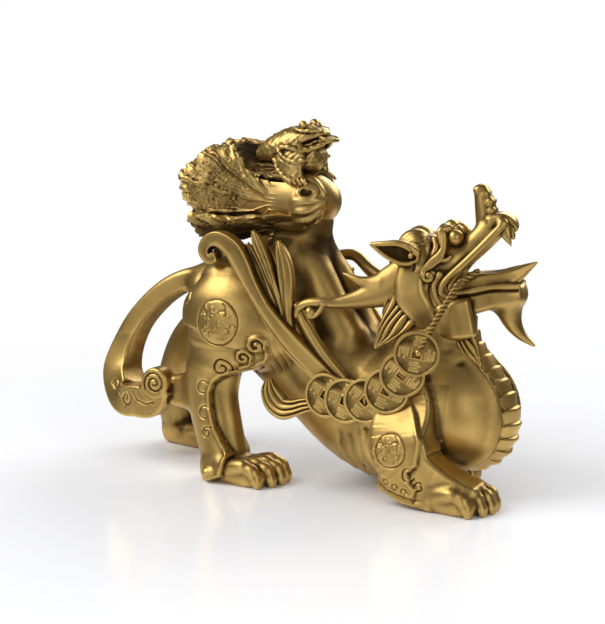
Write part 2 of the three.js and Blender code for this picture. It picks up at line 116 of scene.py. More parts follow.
bpy.ops.mesh.primitive_plane_add(size=6)
floor = bpy.context.object
floor.name = "floor"
table_white = bpy.data.materials.new("table_white")
table_white.use_nodes = True
nodes, links = table_white.node_tree.nodes, table_white.node_tree.links
gloss = nodes["Principled BSDF"]
gloss.inputs["Base Color"].default_value = (0.93, 0.93, 0.95, 1)
gloss.inputs["Roughness"].default_value = 0.18
# The table fades into the white round it, away from the figure.
place = nodes.new("ShaderNodeTexCoord")
distance = nodes.new("ShaderNodeVectorMath")
distance.operation = "LENGTH"
fade = nodes.new("ShaderNodeMapRange")
fade.interpolation_type = "SMOOTHSTEP"
fade.inputs["From Min"].default_value = 0.1
fade.inputs["From Max"].default_value = 0.42
clear = nodes.new("ShaderNodeBsdfTransparent")
blend = nodes.new("ShaderNodeMixShader")
links.new(place.outputs["Object"], distance.inputs[0])
links.new(distance.outputs["Value"], fade.inputs["Value"])
links.new(fade.outputs[0], blend.inputs["Fac"])
links.new(gloss.outputs[0], blend.inputs[1])
links.new(clear.outputs[0], blend.inputs[2])
links.new(blend.outputs[0], nodes["Material Output"].inputs["Surface"])
floor.data.materials.append(table_white)


# The body.
# The trunk, neck, saddle, legs and tail are one hollow casting of golden brass. The outer side of each
# leg is a raised plate of fur, and its swirls and medallion are cut with a graver after casting.

FAR = 40.0  # the distance that a form gives where it isn't near


def through(stations, steps):
    """Points on a smooth curve through the stations, with the sizes that go with them."""
    s = np.array(stations, np.float32)
    s = np.vstack([2 * s[0] - s[1], s, 2 * s[-1] - s[-2]])
    t = np.linspace(0, len(stations) - 1, (len(stations) - 1) * steps + 1)
    i = np.minimum(t.astype(int), len(stations) - 2)
    f = (t - i)[:, None].astype(np.float32)
    a, b, c, d = s[i], s[i + 1], s[i + 2], s[i + 3]
    return 0.5 * (2 * b + (c - a) * f + (2 * a - 5 * b + 4 * c - d) * f**2 + (3 * b - a - 3 * c + d) * f**3)


def smoothstep(value, low, high):
    t = ((value - low) / (high - low)).clip(0, 1)
    return t * t * (3 - 2 * t)


def nearest(p, line):
    """For each point, the index of the nearest point of a line."""
    found = np.empty(len(p), int)
    square = (line**2).sum(1) / 2
    for i in range(0, len(p), 100_000):
        found[i : i + 100_000] = np.argmin(square - p[i : i + 100_000] @ line.T, axis=1)
    return found


def limb(stations, across=(0, 1, 0), corner=None, reach=0.8, relief=None, steps=6):
    """A form swept along its stations: [x, y, z, half width measured across, half depth]. The section
    is an oval, or a box whose corners are rounded by the share "corner" of its smaller half. A station
    may end with a corner of its own."""
    s = through(stations, steps)
    spine, sizes = s[:, :3], np.maximum(s[:, 3:5], 0.15)
    along = np.gradient(spine, axis=0)
    along /= np.linalg.norm(along, axis=1, keepdims=True)
    side = np.array(across, np.float32) - along * (along @ np.array(across, np.float32))[:, None]
    side /= np.linalg.norm(side, axis=1, keepdims=True)
    corners = s[:, 5:] if s.shape[1] > 5 else np.full((len(s), 1), corner or 0, np.float32)
    frames = np.hstack([spine, along, side, np.cross(along, side), sizes, corners]).astype(np.float32)
    room = sizes.max() * 1.2 + 10
    low, high = spine.min(0) - room, spine.max(0) + room
    last = len(spine) - 1

    def distance(p):
        out = np.full(len(p), FAR, np.float32)
        near = np.flatnonzero(((p > low) & (p < high)).all(1))
        if not len(near):
            return out
        q = p[near]
        j = nearest(q, spine)
        from_j = ((q - frames[j, :3]) * frames[j, 3:6]).sum(1)
        k = np.clip(j + np.sign(from_j).astype(int), 0, last)
        gap = np.linalg.norm(frames[k, :3] - frames[j, :3], axis=1)
        share = np.where(k == j, 0, np.abs(from_j) / np.maximum(gap, 1e-6)).clip(0, 1)[:, None]
        local = frames[j] + (frames[k] - frames[j]) * share
        r = q - local[:, :3]
        a = (r * local[:, 6:9]).sum(1)
        b = (r * local[:, 9:12]).sum(1)
        w, h = local[:, 12], local[:, 13]
        end = np.where(k == j, np.abs(from_j), 0)
        length = reach * np.minimum(w, h)
        if corner is None:
            length = np.maximum(length, 0.1)
            k0 = np.sqrt((a / w) ** 2 + (b / h) ** 2 + (end / length) ** 2)
            k1 = np.sqrt((a / w**2) ** 2 + (b / h**2) ** 2 + (end / length**2) ** 2)
            d = k0 * (k0 - 1) / np.maximum(k1, 1e-6)
        else:
            round_by = local[:, 14] * np.minimum(w, h)
            box = np.stack([np.abs(a) - w, np.abs(b) - h, end - length]) + round_by
            d = np.sqrt((np.maximum(box, 0) ** 2).sum(0)) + np.minimum(box.max(0), 0) - round_by
        if relief:
            d = d + relief((j + (k - j) * share[:, 0]) / last, a / w, b / h)
        out[near] = d
        return out

    return distance


def joined(first, second, blend=0.6):
    """Two forms as one, with a fillet of about the size "blend" between them."""

    def distance(p):
        a, b = first(p), second(p)
        return np.minimum(a, b) - np.maximum(blend - np.abs(a - b), 0) ** 2 / (4 * blend)

    return distance


def without(first, second, blend=0.6):
    """The first form with the second cut out of it."""

    def distance(p):
        a, b = first(p), -second(p)
        return np.maximum(a, b) + np.maximum(blend - np.abs(a - b), 0) ** 2 / (4 * blend)

    return distance


def other_side(form):
    return lambda p: form(p * np.array([1, -1, 1], np.float32))


def both_sides(form):
    """A form on the beast's right side, and its mirror image on the left."""
    return lambda p: form(np.column_stack([p[:, 0], -np.abs(p[:, 1]), p[:, 2]]))


def above_ground(form):
    return lambda p: np.maximum(form(p), -p[:, 2])


def line_2d(points):
    """Dense points along a drawn line."""
    points = np.array(points, np.float32)
    gaps = np.linalg.norm(np.diff(points, axis=0), axis=1)
    count = max(int(gaps.sum() / 0.25), 2)
    t = np.concatenate([[0], np.cumsum(gaps)])
    at = np.linspace(0, t[-1], count)
    return np.column_stack([np.interp(at, t, column) for column in points.T]).astype(np.float32)


def swirl(x, z, radius, start, turns, inner=0.22):
    """A spiral that winds in to its centre, drawn on the beast's side."""
    t = np.linspace(0, 1, 24)
    angle = math.radians(start) + turns * 2 * math.pi * t
    size = radius * (1 + (inner - 1) * t)
    return np.column_stack([x + size * np.cos(angle), z + size * np.sin(angle)])


def carved(form, lines, beyond=8):
    """A form with lines cut into its right side, or raised where the height is positive. Each line is
    (points, height, half width)."""
    drawn = [(line_2d(points), height, half) for points, height, half in lines]

    def distance(p):
        d = form(p)
        near = np.flatnonzero((np.abs(d) < 6) & (p[:, 1] < -beyond))
        q = p[near][:, [0, 2]]
        for points, height, half in drawn:
            margin = 3 * half
            inside = ((q > points.min(0) - margin) & (q < points.max(0) + margin)).all(1)
            at = near[inside]
            if not len(at):
                continue
            flat = q[inside]
            gap = np.linalg.norm(flat - points[nearest(flat, points)], axis=1)
            d[at] -= height * np.exp(-((gap / half) ** 2))
        return d

    return distance


def box_gap(p, low, high):
    middle, half = (np.array(high) + low) / 2, (np.array(high) - low) / 2
    return (np.abs(p - middle.astype(np.float32)) - half.astype(np.float32)).max(1)


def inside_box(form, low, high):
    return lambda p: np.maximum(form(p), box_gap(p, low, high))


# Two meshes of one form overlap by this much, and each sinks a little towards its end under the other.
SEAM_OVERLAP = 4
SEAM_SINK = 0.25


def outside_boxes(form, boxes):
    """A form without what lies inside any of the boxes, apart from the overlap."""

    def distance(p):
        d = form(p)
        for low, high in boxes:
            gap = box_gap(p, low, high)
            d = np.maximum(d + SEAM_SINK * smoothstep(-gap, 2.4, 3.6), -SEAM_OVERLAP - gap)
        return d

    return distance


def sunk_at_box(form, low, high):
    """A form that sinks towards the sides of a box."""
    return lambda p: form(p) + SEAM_SINK * smoothstep(box_gap(p, low, high), -2.2, -1)


def sculpted(name, form, low, high, voxel, most=150_000, darkening_by_place=None, even=0):
    """Meshes a form inside the box from low to high, evens it out, and thins it to at most that many
    triangles."""
    whole = form
    form = inside_box(form, np.array(low) + 1, np.array(high) - 1)
    block = 4
    low, high = np.array(low, np.float32), np.array(high, np.float32)
    size = np.ceil((high - low) / (voxel * block)).astype(int)
    corner = np.stack(np.meshgrid(*[np.arange(n) for n in size], indexing="ij"), -1).reshape(-1, 3)
    start = low + corner.astype(np.float32) * voxel * block
    rough = in_parts(form, start + voxel * (block - 1) / 2)
    values = np.where(rough > 0, 9, -9).astype(np.float32)
    grid = np.empty(size * block, np.float32)
    cells = grid.reshape(size[0], block, size[1], block, size[2], block)
    cells[...] = values.reshape(size)[:, None, :, None, :, None]
    live = np.flatnonzero(np.abs(rough) < voxel * block * 1.5)
    step = np.stack(np.meshgrid(*[np.arange(block)] * 3, indexing="ij"), -1).reshape(-1, 3) * voxel
    for i in range(0, len(live), 8000):
        part = live[i : i + 8000]
        p = (start[part][:, None, :] + step[None].astype(np.float32)).reshape(-1, 3)
        x, y, z = corner[part].T
        cells[x, :, y, :, z, :] = form(p).reshape(-1, block, block, block)
    volume = openvdb.FloatGrid(9.0)
    volume.copyFromArray(grid / voxel, tolerance=0.0)
    points, _, quads = volume.convertToPolygons(isovalue=0.0, adaptivity=0.0)
    points = points * voxel + low
    mesh = bpy.data.meshes.new(name)
    mesh.from_pydata((points - np.array([MIDDLE_X, 0, 0])) * MM, [], quads.tolist())
    piece = bpy.data.objects.new(name, mesh)
    bpy.context.scene.collection.objects.link(piece)
    triangles = 2 * len(quads)
    if even:
        smooth = piece.modifiers.new("even", "SMOOTH")
        smooth.iterations = even
    if triangles > most:
        thin = piece.modifiers.new("thin", "DECIMATE")
        thin.ratio = most / triangles
    if len(piece.modifiers):
        apply_modifiers(piece)
    # Patina, with painted shade where the whole form leaves little room round the surface.
    shade(piece, whole, darkening_by_place)
    return piece


def in_parts(form, p):
    return np.concatenate([form(p[i : i + 400_000]) for i in range(0, len(p), 400_000)])


def apply_modifiers(piece):
    bpy.context.view_layer.update()
    evaluated = piece.evaluated_get(bpy.context.evaluated_depsgraph_get())
    made = bpy.data.meshes.new_from_object(evaluated)
    piece.modifiers.clear()
    piece.data = made


def hollows(piece, form):
    """How far the patina has gathered at each point of a mesh, with painted shade where the form leaves
    little room in front of it, and how sharp a ridge each point lies on: the surface is compared with its
    own smoothed shape, and with the room that the form leaves round it."""
    mesh = piece.data
    count = len(mesh.vertices)
    place = np.empty(count * 3, np.float32)
    mesh.vertices.foreach_get("co", place)
    normal = np.empty(count * 3, np.float32)
    mesh.vertex_normals.foreach_get("vector", normal)
    place = place.reshape(-1, 3) / MM + np.array([MIDDLE_X, 0, 0], np.float32)
    normal = normal.reshape(-1, 3)
    pairs = np.empty(len(mesh.edges) * 2, np.int32)
    mesh.edges.foreach_get("vertices", pairs)
    a, b = pairs.reshape(-1, 2).T
    neighbours = np.maximum(np.bincount(a, minlength=count) + np.bincount(b, minlength=count), 1)
    smooth = place
    depths = []
    for passes in (4, 22):
        for _ in range(passes):
            smooth = np.column_stack(
                [(np.bincount(a, k[b], count) + np.bincount(b, k[a], count)) / neighbours for k in smooth.T]
            )
        depths.append(((smooth - place) * normal).sum(1))
    fine, middle = depths
    # Painted shade: darker where the form comes back within a few mm in front of the surface.
    painted_shade = np.zeros(count, np.float32)
    if form:
        for out in (1.5, 4, 9):
            painted_shade += (1 - form(place + normal * out) / out).clip(0, 1) / 3
    patina_and_shade = 0.5 * (fine / 0.14).clip(-0.4, 1) + 0.4 * (middle / 0.55).clip(-0.4, 1) + 0.75 * painted_shade
    return patina_and_shade.clip(0, 1), (-fine / 0.08).clip(0, 1), place


def shade(piece, form=None, darkening_by_place=None):
    """Smooth shading, and the patina and painted shade as attributes. A function of place may darken them
    further.
    """
    piece.data.shade_smooth()
    piece.data.set_sharp_from_angle(angle=math.radians(70))
    patina_and_shade, ridge, place = hollows(piece, form)
    if darkening_by_place:
        patina_and_shade = (patina_and_shade + darkening_by_place(place)).clip(0, 1)
    for name, values in (("patina_and_shade", patina_and_shade), ("ridge", ridge)):
        if name not in piece.data.attributes:
            piece.data.attributes.new(name, "FLOAT", "POINT")
        piece.data.attributes[name].data.foreach_set("value", values.astype(np.float32))


def brass(name, bright, dark, roughness, gain):
    """Cast brass: lighter on its sharp ridges, and brown with patina and painted shade in its hollows."""
    material = bpy.data.materials.new(name)
    material.use_nodes = True
    nodes, links = material.node_tree.nodes, material.node_tree.links
    metal = nodes["Principled BSDF"]
    metal.inputs["Metallic"].default_value = 1

    def node(kind, settings, **values):
        made = nodes.new(kind)
        for key, value in settings.items():
            setattr(made, key, value)
        for key, value in values.items():
            made.inputs[key.replace("_", " ")].default_value = value
        return made

    place = node("ShaderNodeTexCoord", {})
    hollow = node("ShaderNodeAttribute", {"attribute_name": "patina_and_shade"})
    edge = node("ShaderNodeAttribute", {"attribute_name": "ridge"})
    # The patina and painted shade follow the hollows, made uneven by a cloud.
    cloud = node("ShaderNodeTexNoise", {}, Scale=60, Detail=5, Roughness=0.62)
    links.new(place.outputs["Object"], cloud.inputs["Vector"])
    uneven = node("ShaderNodeMapRange", {}, From_Min=0.3, From_Max=0.7, To_Min=-0.14, To_Max=0.2)
    links.new(cloud.outputs["Fac"], uneven.inputs["Value"])
    patina = node("ShaderNodeMath", {"operation": "MULTIPLY_ADD"})
    patina.inputs[1].default_value = gain
    links.new(hollow.outputs["Fac"], patina.inputs[0])
    links.new(uneven.outputs[0], patina.inputs[2])
    amount = node("ShaderNodeMapRange", {}, From_Min=0.08, From_Max=0.85)
    links.new(patina.outputs[0], amount.inputs["Value"])
    # The colour is lighter on sharp ridges.
    lighter_ridges = node("ShaderNodeMix", {"data_type": "RGBA"})
    lighter_ridges.inputs[6].default_value = (*bright, 1)
    lighter_ridges.inputs[7].default_value = (*(min(1.35 * c, 1) for c in bright), 1)
    links.new(edge.outputs["Fac"], lighter_ridges.inputs[0])
    colour = node("ShaderNodeMix", {"data_type": "RGBA"})
    colour.inputs[7].default_value = (*dark, 1)
    links.new(lighter_ridges.outputs[2], colour.inputs[6])
    links.new(amount.outputs[0], colour.inputs[0])
    links.new(colour.outputs[2], metal.inputs["Base Color"])
    rough = node("ShaderNodeMapRange", {}, To_Min=roughness, To_Max=roughness + 0.3)
    links.new(amount.outputs[0], rough.inputs["Value"])
    links.new(rough.outputs[0], metal.inputs["Roughness"])
    grain = node("ShaderNodeTexNoise", {}, Scale=420, Detail=3, Roughness=0.55)
    links.new(place.outputs["Object"], grain.inputs["Vector"])
    bump = node("ShaderNodeBump", {}, Strength=0.12, Distance=0.0006)
    links.new(grain.outputs["Fac"], bump.inputs["Height"])
    links.new(bump.outputs[0], metal.inputs["Normal"])
    return material


golden_brass = brass(
    "golden_brass",
    bright=(0.42, 0.28, 0.09),
    dark=(0.085, 0.05, 0.015),
    roughness=0.4,
    gain=1.1,
)


def dress(piece, material, node):
    piece.data.materials.clear()
    piece.data.materials.append(material)
    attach(piece, "root")
    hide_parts(node)


trunk = limb(
    [
        [-46, 0, 84, 16, 13],
        [-33, 0, 83, 22, 22],
        [-14, 0, 75, 23, 28],
        [7, 0, 58, 22, 28],
        [34, 0, 36, 23, 28],
        [59, 0, 32, 26, 30],
        [81, 0, 39, 25, 26],
    ],
    reach=0.97,
)
neck = limb([[60, 0, 46, 23, 22], [68, 0, 63, 18, 19], [71, 0, 80, 15, 17], [69, 0, 97, 13, 15]])
saddle = limb(
    [[-3, 0, 88, 15, 17], [-3, 0, 100, 12.5, 14.5], [-3, 0, 112, 13.5, 15.5]],
    corner=0.9,
    reach=0.2,
)
saddle_front = limb([[7, 0, 94, 9, 6], [7.6, 0, 107, 9, 5.4], [9, 0, 119, 8, 6]])
shoulder = limb([[5, -6, 104, 7, 7], [12, -7, 96, 7.4, 7.4], [19, -8, 85, 7.4, 7.4], [29, -8, 70, 6, 6]])
breast = limb(
    [
        [88, 0, 63, 9, 4],
        [99, 0, 53, 10, 5],
        [103, 0, 40, 11, 5],
        [99, 0, 26, 11, 5],
        [90, 0, 18, 10, 4],
    ],
)
body = joined(joined(joined(trunk, neck, 12), saddle, 10), saddle_front, 4)
body = joined(body, both_sides(shoulder), 7)
body = joined(body, breast, 8)
belly_folds = [
    (((32, 27), (31.5, 22), (34, 15)), -0.4, 1.7),
    (((37.5, 26), (38, 19), (41, 12)), -0.45, 1.9),
    (((43, 29), (43, 20), (46, 11)), -0.4, 1.7),
    (((47, 30), (46.6, 24.7), (50, 14)), -0.6, 1.6),
]
body = carved(body, belly_folds)

BAND_HALF = 9  # half the width of the band of breast plates


def breast_band(form):
    """Lets the band that the breast plates lie on into the chest, with a groove along its two edges."""

    def distance(p):
        d = form(p)
        near = np.flatnonzero((np.abs(d) < 4) & (p[:, 0] > 82) & (np.abs(p[:, 1]) < 18))
        x, y, z = p[near].T
        off = np.abs(y) - BAND_HALF + 1.5 * smoothstep(z, 50, 80)
        depth = 0.5 + 1.6 * smoothstep(z, 34, 50)
        step = depth * (1 - smoothstep(off, -0.9, 0.5)) + 0.5 * np.exp(-((off / 0.8) ** 2))
        d[near] += step * smoothstep(x, 82, 89)
        return d

    return distance


body = breast_band(body)


def hind_leg(side, back):
    """The broad haunch, a shank, and a paw. The left leg is stretched back."""

    def station(x, y, z, width, depth, stretch):
        return [x - back * stretch, side * y, z, width, depth]

    haunch = limb(
        [
            station(-29, 15, 92, 12, 15, 0.03),
            station(-27.5, 18, 82, 15, 24, 0.15),
            station(-26, 19.6, 70, 15.3, 25, 0.32),
            station(-27, 20, 63, 13.6, 21, 0.42),
        ],
        reach=0.72,
        steps=14,
    )
    shank = limb(
        [
            station(-31, 20, 64, 11, 14, 0.42),
            station(-33.5, 21, 52, 10, 13, 0.63),
            station(-34, 22, 38, 8.8, 11.6, 0.77),
            station(-29.5, 24.5, 24, 8.2, 10.8, 0.92),
            station(-24, 27, 9, 8.6, 10, 1),
        ],
        steps=10,
    )
    flank = limb(
        [
            station(-16, 19, 68, 13, 17, 0.4),
            station(-2, 18.4, 67, 11.4, 13, 0.4),
            station(8, 17, 71, 8.6, 9, 0.4),
        ]
    )
    leg = joined(joined(joined(haunch, shank, 4), flank, 3), paw(5 - back, side * 28, side), 3)
    spur = limb([[-18 - back, side * 34, 5.6, 3, 2.8], [-28 - back, side * 38, 4.4, 0.8, 0.8]])
    return joined(leg, spur, 1)


def paw(tip, middle, side):
    """Four curled toes with a knuckle, a middle joint and a claw each, in front of a low instep."""
    made = limb(
        [
            [tip - 34, middle, 5, 7.5, 5],
            [tip - 24, middle, 5.4, 10, 6],
            [tip - 14, middle, 5.2, 11.6, 6.2],
            [tip - 8, middle, 4, 11.4, 4.4],
        ],
        corner=0.8,
    )
    for toe, behind in enumerate((5, 1.2, -0.2, 0.8)):
        y = middle + side * (9.6 - 6.4 * toe)
        x = tip - behind - 1
        root = middle + (y - middle) * 0.75
        toe_form = limb(
            [
                [x - 19, root, 6.5, 3.4, 4.2],
                [x - 10, y, 9.2, 3.5, 3.6],
                [x - 6.6, y, 8.6, 3.1, 3],
                [x - 3.6, y, 7.4, 3.3, 3.2],
                [x - 2.2, y, 5, 3, 2.8],
                [x - 1.2, y, 3.2, 3.1, 2.6],
                [x - 0.6, y, 1, 2.5, 1.8],
            ],
            steps=4,
        )
        made = joined(made, toe_form, 0.9)
    return made


def foreleg(side, back):
    """A folded arm with a flat outer face, a fringe of fur under it, and a paw."""

    def station(x, y, z, width, depth, stretch):
        return [x - back * stretch, side * y, z, width, depth]

    arm = limb(
        [
            station(63, 16, 51, 10, 12, 0),
            station(68, 20.4, 42, 8.5, 13, 0.3),
            station(69.5, 29, 28, 8.5, 13.5, 0.8),
            station(76, 30.5, 17, 8, 12, 1),
            station(88, 30, 11.5, 8, 8.6, 1),
            station(99, 28.5, 8, 8.6, 6.6, 1),
        ],
        corner=0.32,
    )
    fringe = limb(
        [
            station(62.5, 29, 10, 6.6, 4.8, 1),
            station(72, 31, 5.8, 6.2, 3.8, 1),
            station(84, 33, 4, 5, 3.2, 1),
        ],
        corner=0.4,
    )
    spur = limb([station(88, 34, 5, 3, 2.8, 1), station(79, 38, 3.4, 1, 1, 1)])
    arm = joined(joined(arm, fringe, 0.8), spur, 1)
    return joined(arm, paw(111 - back, side * 28, side), 2.5)


def flat_gap(q, outline):
    """Signed distance to a closed outline drawn on the beast's side, negative inside it."""
    a = np.array(outline, np.float32)
    b = np.roll(a, -1, axis=0)
    gap = np.full(len(q), 1e9, np.float32)
    inside = np.zeros(len(q), bool)
    for start, end in zip(a, b):
        edge = end - start
        w = q - start
        t = ((w @ edge) / (edge @ edge)).clip(0, 1)[:, None]
        gap = np.minimum(gap, ((w - edge * t) ** 2).sum(1))
        crosses = (start[1] > q[:, 1]) != (end[1] > q[:, 1])
        at = start[0] + (q[:, 1] - start[1]) * edge[0] / (edge[1] if abs(edge[1]) > 1e-6 else 1e-6)
        inside ^= crosses & (q[:, 0] < at)
    return np.where(inside, -1, 1) * np.sqrt(gap)


def plated(form, outline, proud, rim, fade=(1e3, 1e4)):
    """Raises the right side of a form inside an outline, with a thin rim along the edge. The step
    fades out between the two heights in fade."""
    low, high = np.min(outline, 0) - 3, np.max(outline, 0) + 3

    def distance(p):
        d = form(p)
        side = p[:, [0, 2]]
        near = np.flatnonzero((np.abs(d) < 5) & (p[:, 1] < -12) & ((side > low) & (side < high)).all(1))
        gap = flat_gap(side[near], outline)
        step = (0.5 - gap / 1.2).clip(0, 1)
        step = step * step * (3 - 2 * step) * proud + rim * np.exp(-(((gap + 1.1) / 0.8) ** 2))
        weight = 1 - ((side[near, 1] - fade[0]) / (fade[1] - fade[0])).clip(0, 1)
        d[near] -= step * weight
        return d

    return distance


tail = limb(
    [
        [-36, 0, 88, 9, 8, 0.7],
        [-56, 0, 88, 8.5, 5.5, 0.6],
        [-71, -2, 81.5, 8, 5, 0.6],
        [-85, -4, 68, 8, 4.8, 0.6],
        [-93, -5, 54, 8, 5, 0.4],
        [-94, -9, 41, 8, 6.4, 0.15],
        [-86, -15, 31, 8, 7.5, 0.15],
        [-76, -20, 30.8, 7, 7.5, 0.2],
        [-68, -23, 32, 4.8, 7.8, 0.2],
        [-63.9, -24, 38, 4, 7.3, 0.2],
    ],
    corner=0.3,
    steps=10,
)


SCROLL_X, SCROLL_Y, SCROLL_Z = -63.9, -24, 40.8
SCROLL_RADIUS, SCROLL_HALF, SCROLL_ROUND = 7.3, 4.2, 1.3


def scroll_end(p):
    """The tail ends in a short round drum with rounded edges, whose face is cut with a spiral."""
    out = np.hypot(p[:, 0] - SCROLL_X, p[:, 2] - SCROLL_Z) - SCROLL_RADIUS + SCROLL_ROUND
    along = np.abs(p[:, 1] - SCROLL_Y) - SCROLL_HALF + SCROLL_ROUND
    return np.hypot(out.clip(0), along.clip(0)) + np.minimum(np.maximum(out, along), 0) - SCROLL_ROUND


tail = joined(tail, scroll_end, 0.8)
tail = joined(tail, limb([[-63, -18.6, 37, 4, 6], [-46, -21, 38, 6, 9]], corner=0.6), 1.5)

LEG_PLATE = [
    (8, 76), (2, 63), (-3.3, 56.5), (-9.7, 52.3), (-17.7, 50), (-24.7, 48.1), (-28.8, 44.9), (-30.4, 40.7),
    (-29.7, 34.7), (-27, 26.8), (-22.6, 20.2), (-17.4, 13.7), (-20, 4), (-36, -4), (-60, 6), (-60, 76),
]
ARM_PLATE = [
    (66, 52), (75.1, 42.1), (81.5, 32.2), (79.7, 20.4), (75.5, 17), (76.6, 12.5), (79.5, 10), (78, 5.5),
    (64, 8), (59, 12), (55, 22), (53.8, 34), (54, 50),
]
right_hind_leg = plated(hind_leg(-1, 0), LEG_PLATE, 2.2, 0.6, fade=(51, 61))
right_foreleg = plated(foreleg(-1, 0), ARM_PLATE, 1.5, 0.2, fade=(40, 50))


ARC_COUNT = 15


def medallion(x, z, radius):
    """A ring cut round a shallow tangle of short arcs."""
    angle = np.linspace(0, 2 * math.pi, 60)
    lines = [(np.column_stack([x + radius * np.cos(angle), z + radius * np.sin(angle)]), -0.55, 0.4)]
    for k in range(ARC_COUNT):
        turn = 2.4 * k
        out = radius * (0.18 + 0.66 * math.sqrt(k / ARC_COUNT))
        bend = 0.45 if k % 3 else -0.6
        arc_x, arc_z = x + out * math.cos(turn), z + out * math.sin(turn)
        arc = swirl(arc_x, arc_z, radius * (0.13 + 0.03 * (k % 4)), 57 * k, bend, 0.6)
        lines.append((arc, -0.42 if k % 2 else 0.3, 0.36))
    return lines


GRAVER = (-0.6, 0.42)  # the height and half width of a line cut with the graver
leg_curls = [
    (swirl(-24.8, 52.6, 4.8, -10, 1.25), *GRAVER),
    (swirl(-33.8, 42.6, 3.6, 40, 0.7, 0.6), *GRAVER),
    (swirl(-32.6, 31.2, 3.4, 50, 0.65, 0.7), *GRAVER),
    (swirl(-30.8, 22.4, 2.7, 80, 1.2), *GRAVER),
    (((-29.3, 24.8), (-26.9, 26), (-25.4, 24.4)), *GRAVER),
    (((-46.5, 87.5), (-43.2, 86), (-42.6, 82), (-45.6, 79.4)), *GRAVER),
    (swirl(-6.4, 64.3, 4.8, -10, 1.3, 0.15), 1.5, 1.1),
    (((-13, 49.6), (-6, 52.6), (-2.2, 57), (-1.5, 63.4)), 1.3, 1.3),
    (swirl(-13.2, 58.2, 3.9, -25, 1.3, 0.15), 1.1, 0.85),
    (((-16, 52.8), (-11.4, 54.4), (-9.6, 56.8)), 0.9, 0.9),
    *medallion(-25.4, 73.9, 10.4),
]
arm_curls = [
    (swirl(76, 15.8, 3.4, 60, 0.75, 0.7), *GRAVER),
    (swirl(80.2, 10.9, 2.2, 60, 0.9, 0.6), *GRAVER),
    (swirl(64.2, 11.6, 1.7, 0, 0.9, 0.5), *GRAVER),
    (swirl(69, 9.8, 1.7, 0, 0.9, 0.5), *GRAVER),
    (swirl(73.6, 8.2, 1.6, 0, 0.9, 0.5), *GRAVER),
    *medallion(66.8, 25.9, 7.4),
]
tail_curls = [
    (swirl(SCROLL_X, SCROLL_Z, 5.8, -150, -1.9, 0.12), -0.8, 0.5),
    (((-77, 35.5), (-74, 31.6), (-69, 30.2), (-64.6, 31.6)), -0.6, 0.45),
    (swirl(-81.6, 31.6, 4, 100, -1.2, 0.3), *GRAVER),
    (((-87.5, 34), (-84, 31), (-82, 27.5)), *GRAVER),
    (swirl(-90.5, 36.6, 2.6, 180, -1.2, 0.4), *GRAVER),
]
body = joined(body, carved(right_hind_leg, leg_curls), 4)
body = joined(body, hind_leg(1, 60), 5)
body = joined(body, carved(right_foreleg, arm_curls), 2)
body = joined(body, foreleg(1, 33), 2)
body = joined(body, carved(tail, tail_curls), 3)
body = above_ground(body)

# The engraved parts are meshed finer, each in a box of its own, with at most so many triangles.
ENGRAVED_VOXEL = 0.36
ENGRAVED = {
    "engraved_hind_leg": ((-57, -43, -2), (14, -9, 97), 75_000),
    "engraved_upper_arm": ((50, -43, 20), (88, -13, 56), 45_000),
    "engraved_forearm": ((50, -43, -2), (116, -20, 32), 40_000),
    "engraved_tail": ((-110, -44, 12), (-57, -9, 62), 34_000),
}
fine_boxes = [box for *box, most in ENGRAVED.values()]
plain = outside_boxes(body, fine_boxes)


def darker_body_and_shaded_saddle(p):
    """The neck, back and belly are darker than the legs and the tail. The saddle darkens most towards the
    cabbage over it, as painted shade.
    """
    away = np.min([box_gap(p, low, high) for low, high in fine_boxes], axis=0)
    return 0.2 * (away / 8).clip(0, 1) + 0.42 * smoothstep(p[:, 2], 92, 110)


beast_body = sculpted("beast_body", plain, (-110, -44, -2), (114, 44, 124), 0.55, 90_000, darker_body_and_shaded_saddle, 5)
dress(beast_body, golden_brass, "pixiu")
for name, (*box, most) in ENGRAVED.items():
    part = sculpted(name, sunk_at_box(body, *box), *box, ENGRAVED_VOXEL, most, even=2)
    dress(part, golden_brass, "pixiu")


# The wings.
# A wing lies along each flank, cast with the body: a long band with raised rims that ends in a scroll,
# pointed feathers with a sharp quill, and a rounded band in front. The left wing is plainer.


def band_relief(t, a, b):
    """Two rims along a band, and a shallow channel between them."""
    return 0.45 * np.exp(-((b / 0.7) ** 4))


def folded(t, a, b):
    """A feather has a thin raised edge on both sides, and a fold with a quill in its middle."""
    b = np.abs(b)
    depth = 0.5 - 0.9 * np.exp(-(((b - 0.8) / 0.22) ** 2)) - 0.35 * np.exp(-((b / 0.13) ** 2))
    return depth * smoothstep(t, 0.1, 0.5)


def feather(stations):
    return limb(stations, relief=folded, steps=8)


wing_band = limb(
    [
        [36, -23.5, 43, 3, 3.4],
        [26.8, -26.5, 54, 3, 3.9],
        [12.4, -29.3, 67.6, 3, 3.9],
        [-0.6, -29.4, 80.6, 3, 3.1],
        [-9.2, -28.6, 91.8, 3, 3.5],
        [-15.4, -27.8, 101.4, 3, 4.5],
        [-20.4, -27, 107.6, 3, 4.4],
        [-27.4, -27, 111.4, 3, 3.6],
        [-33, -27, 110.2, 3, 3],
        [-35.6, -27, 105.8, 3, 2.5],
        [-33.2, -27.2, 102, 2.8, 2.2],
        [-29.8, -27.6, 103, 2.6, 2.3],
    ],
    corner=0.25,
    relief=band_relief,
)
strip = limb(
    [
        [-16.6, -27, 96.2, 2.2, 0.8],
        [-8.2, -28.2, 85.2, 2.4, 1.3],
        [0, -28.8, 74.6, 2.4, 1.6],
        [10, -28.6, 63.6, 2.4, 1.6],
        [22, -27.4, 53, 2.4, 1.2],
    ],
    corner=0.6,
)
front_band = limb(
    [
        [35, -23, 52, 3, 2.4],
        [25, -25, 63, 3, 2.8],
        [16, -25.5, 76, 3, 2.6],
        [12, -25, 84, 2.6, 1.8],
    ]
)
right_wing = joined(joined(wing_band, strip, 0.4), front_band, 0.6)
in_scroll = limb([[-31, -25, 106, 1.6, 3.2], [-25.6, -25, 106.4, 1.6, 3.4]])
right_wing = joined(right_wing, in_scroll, 0.6)
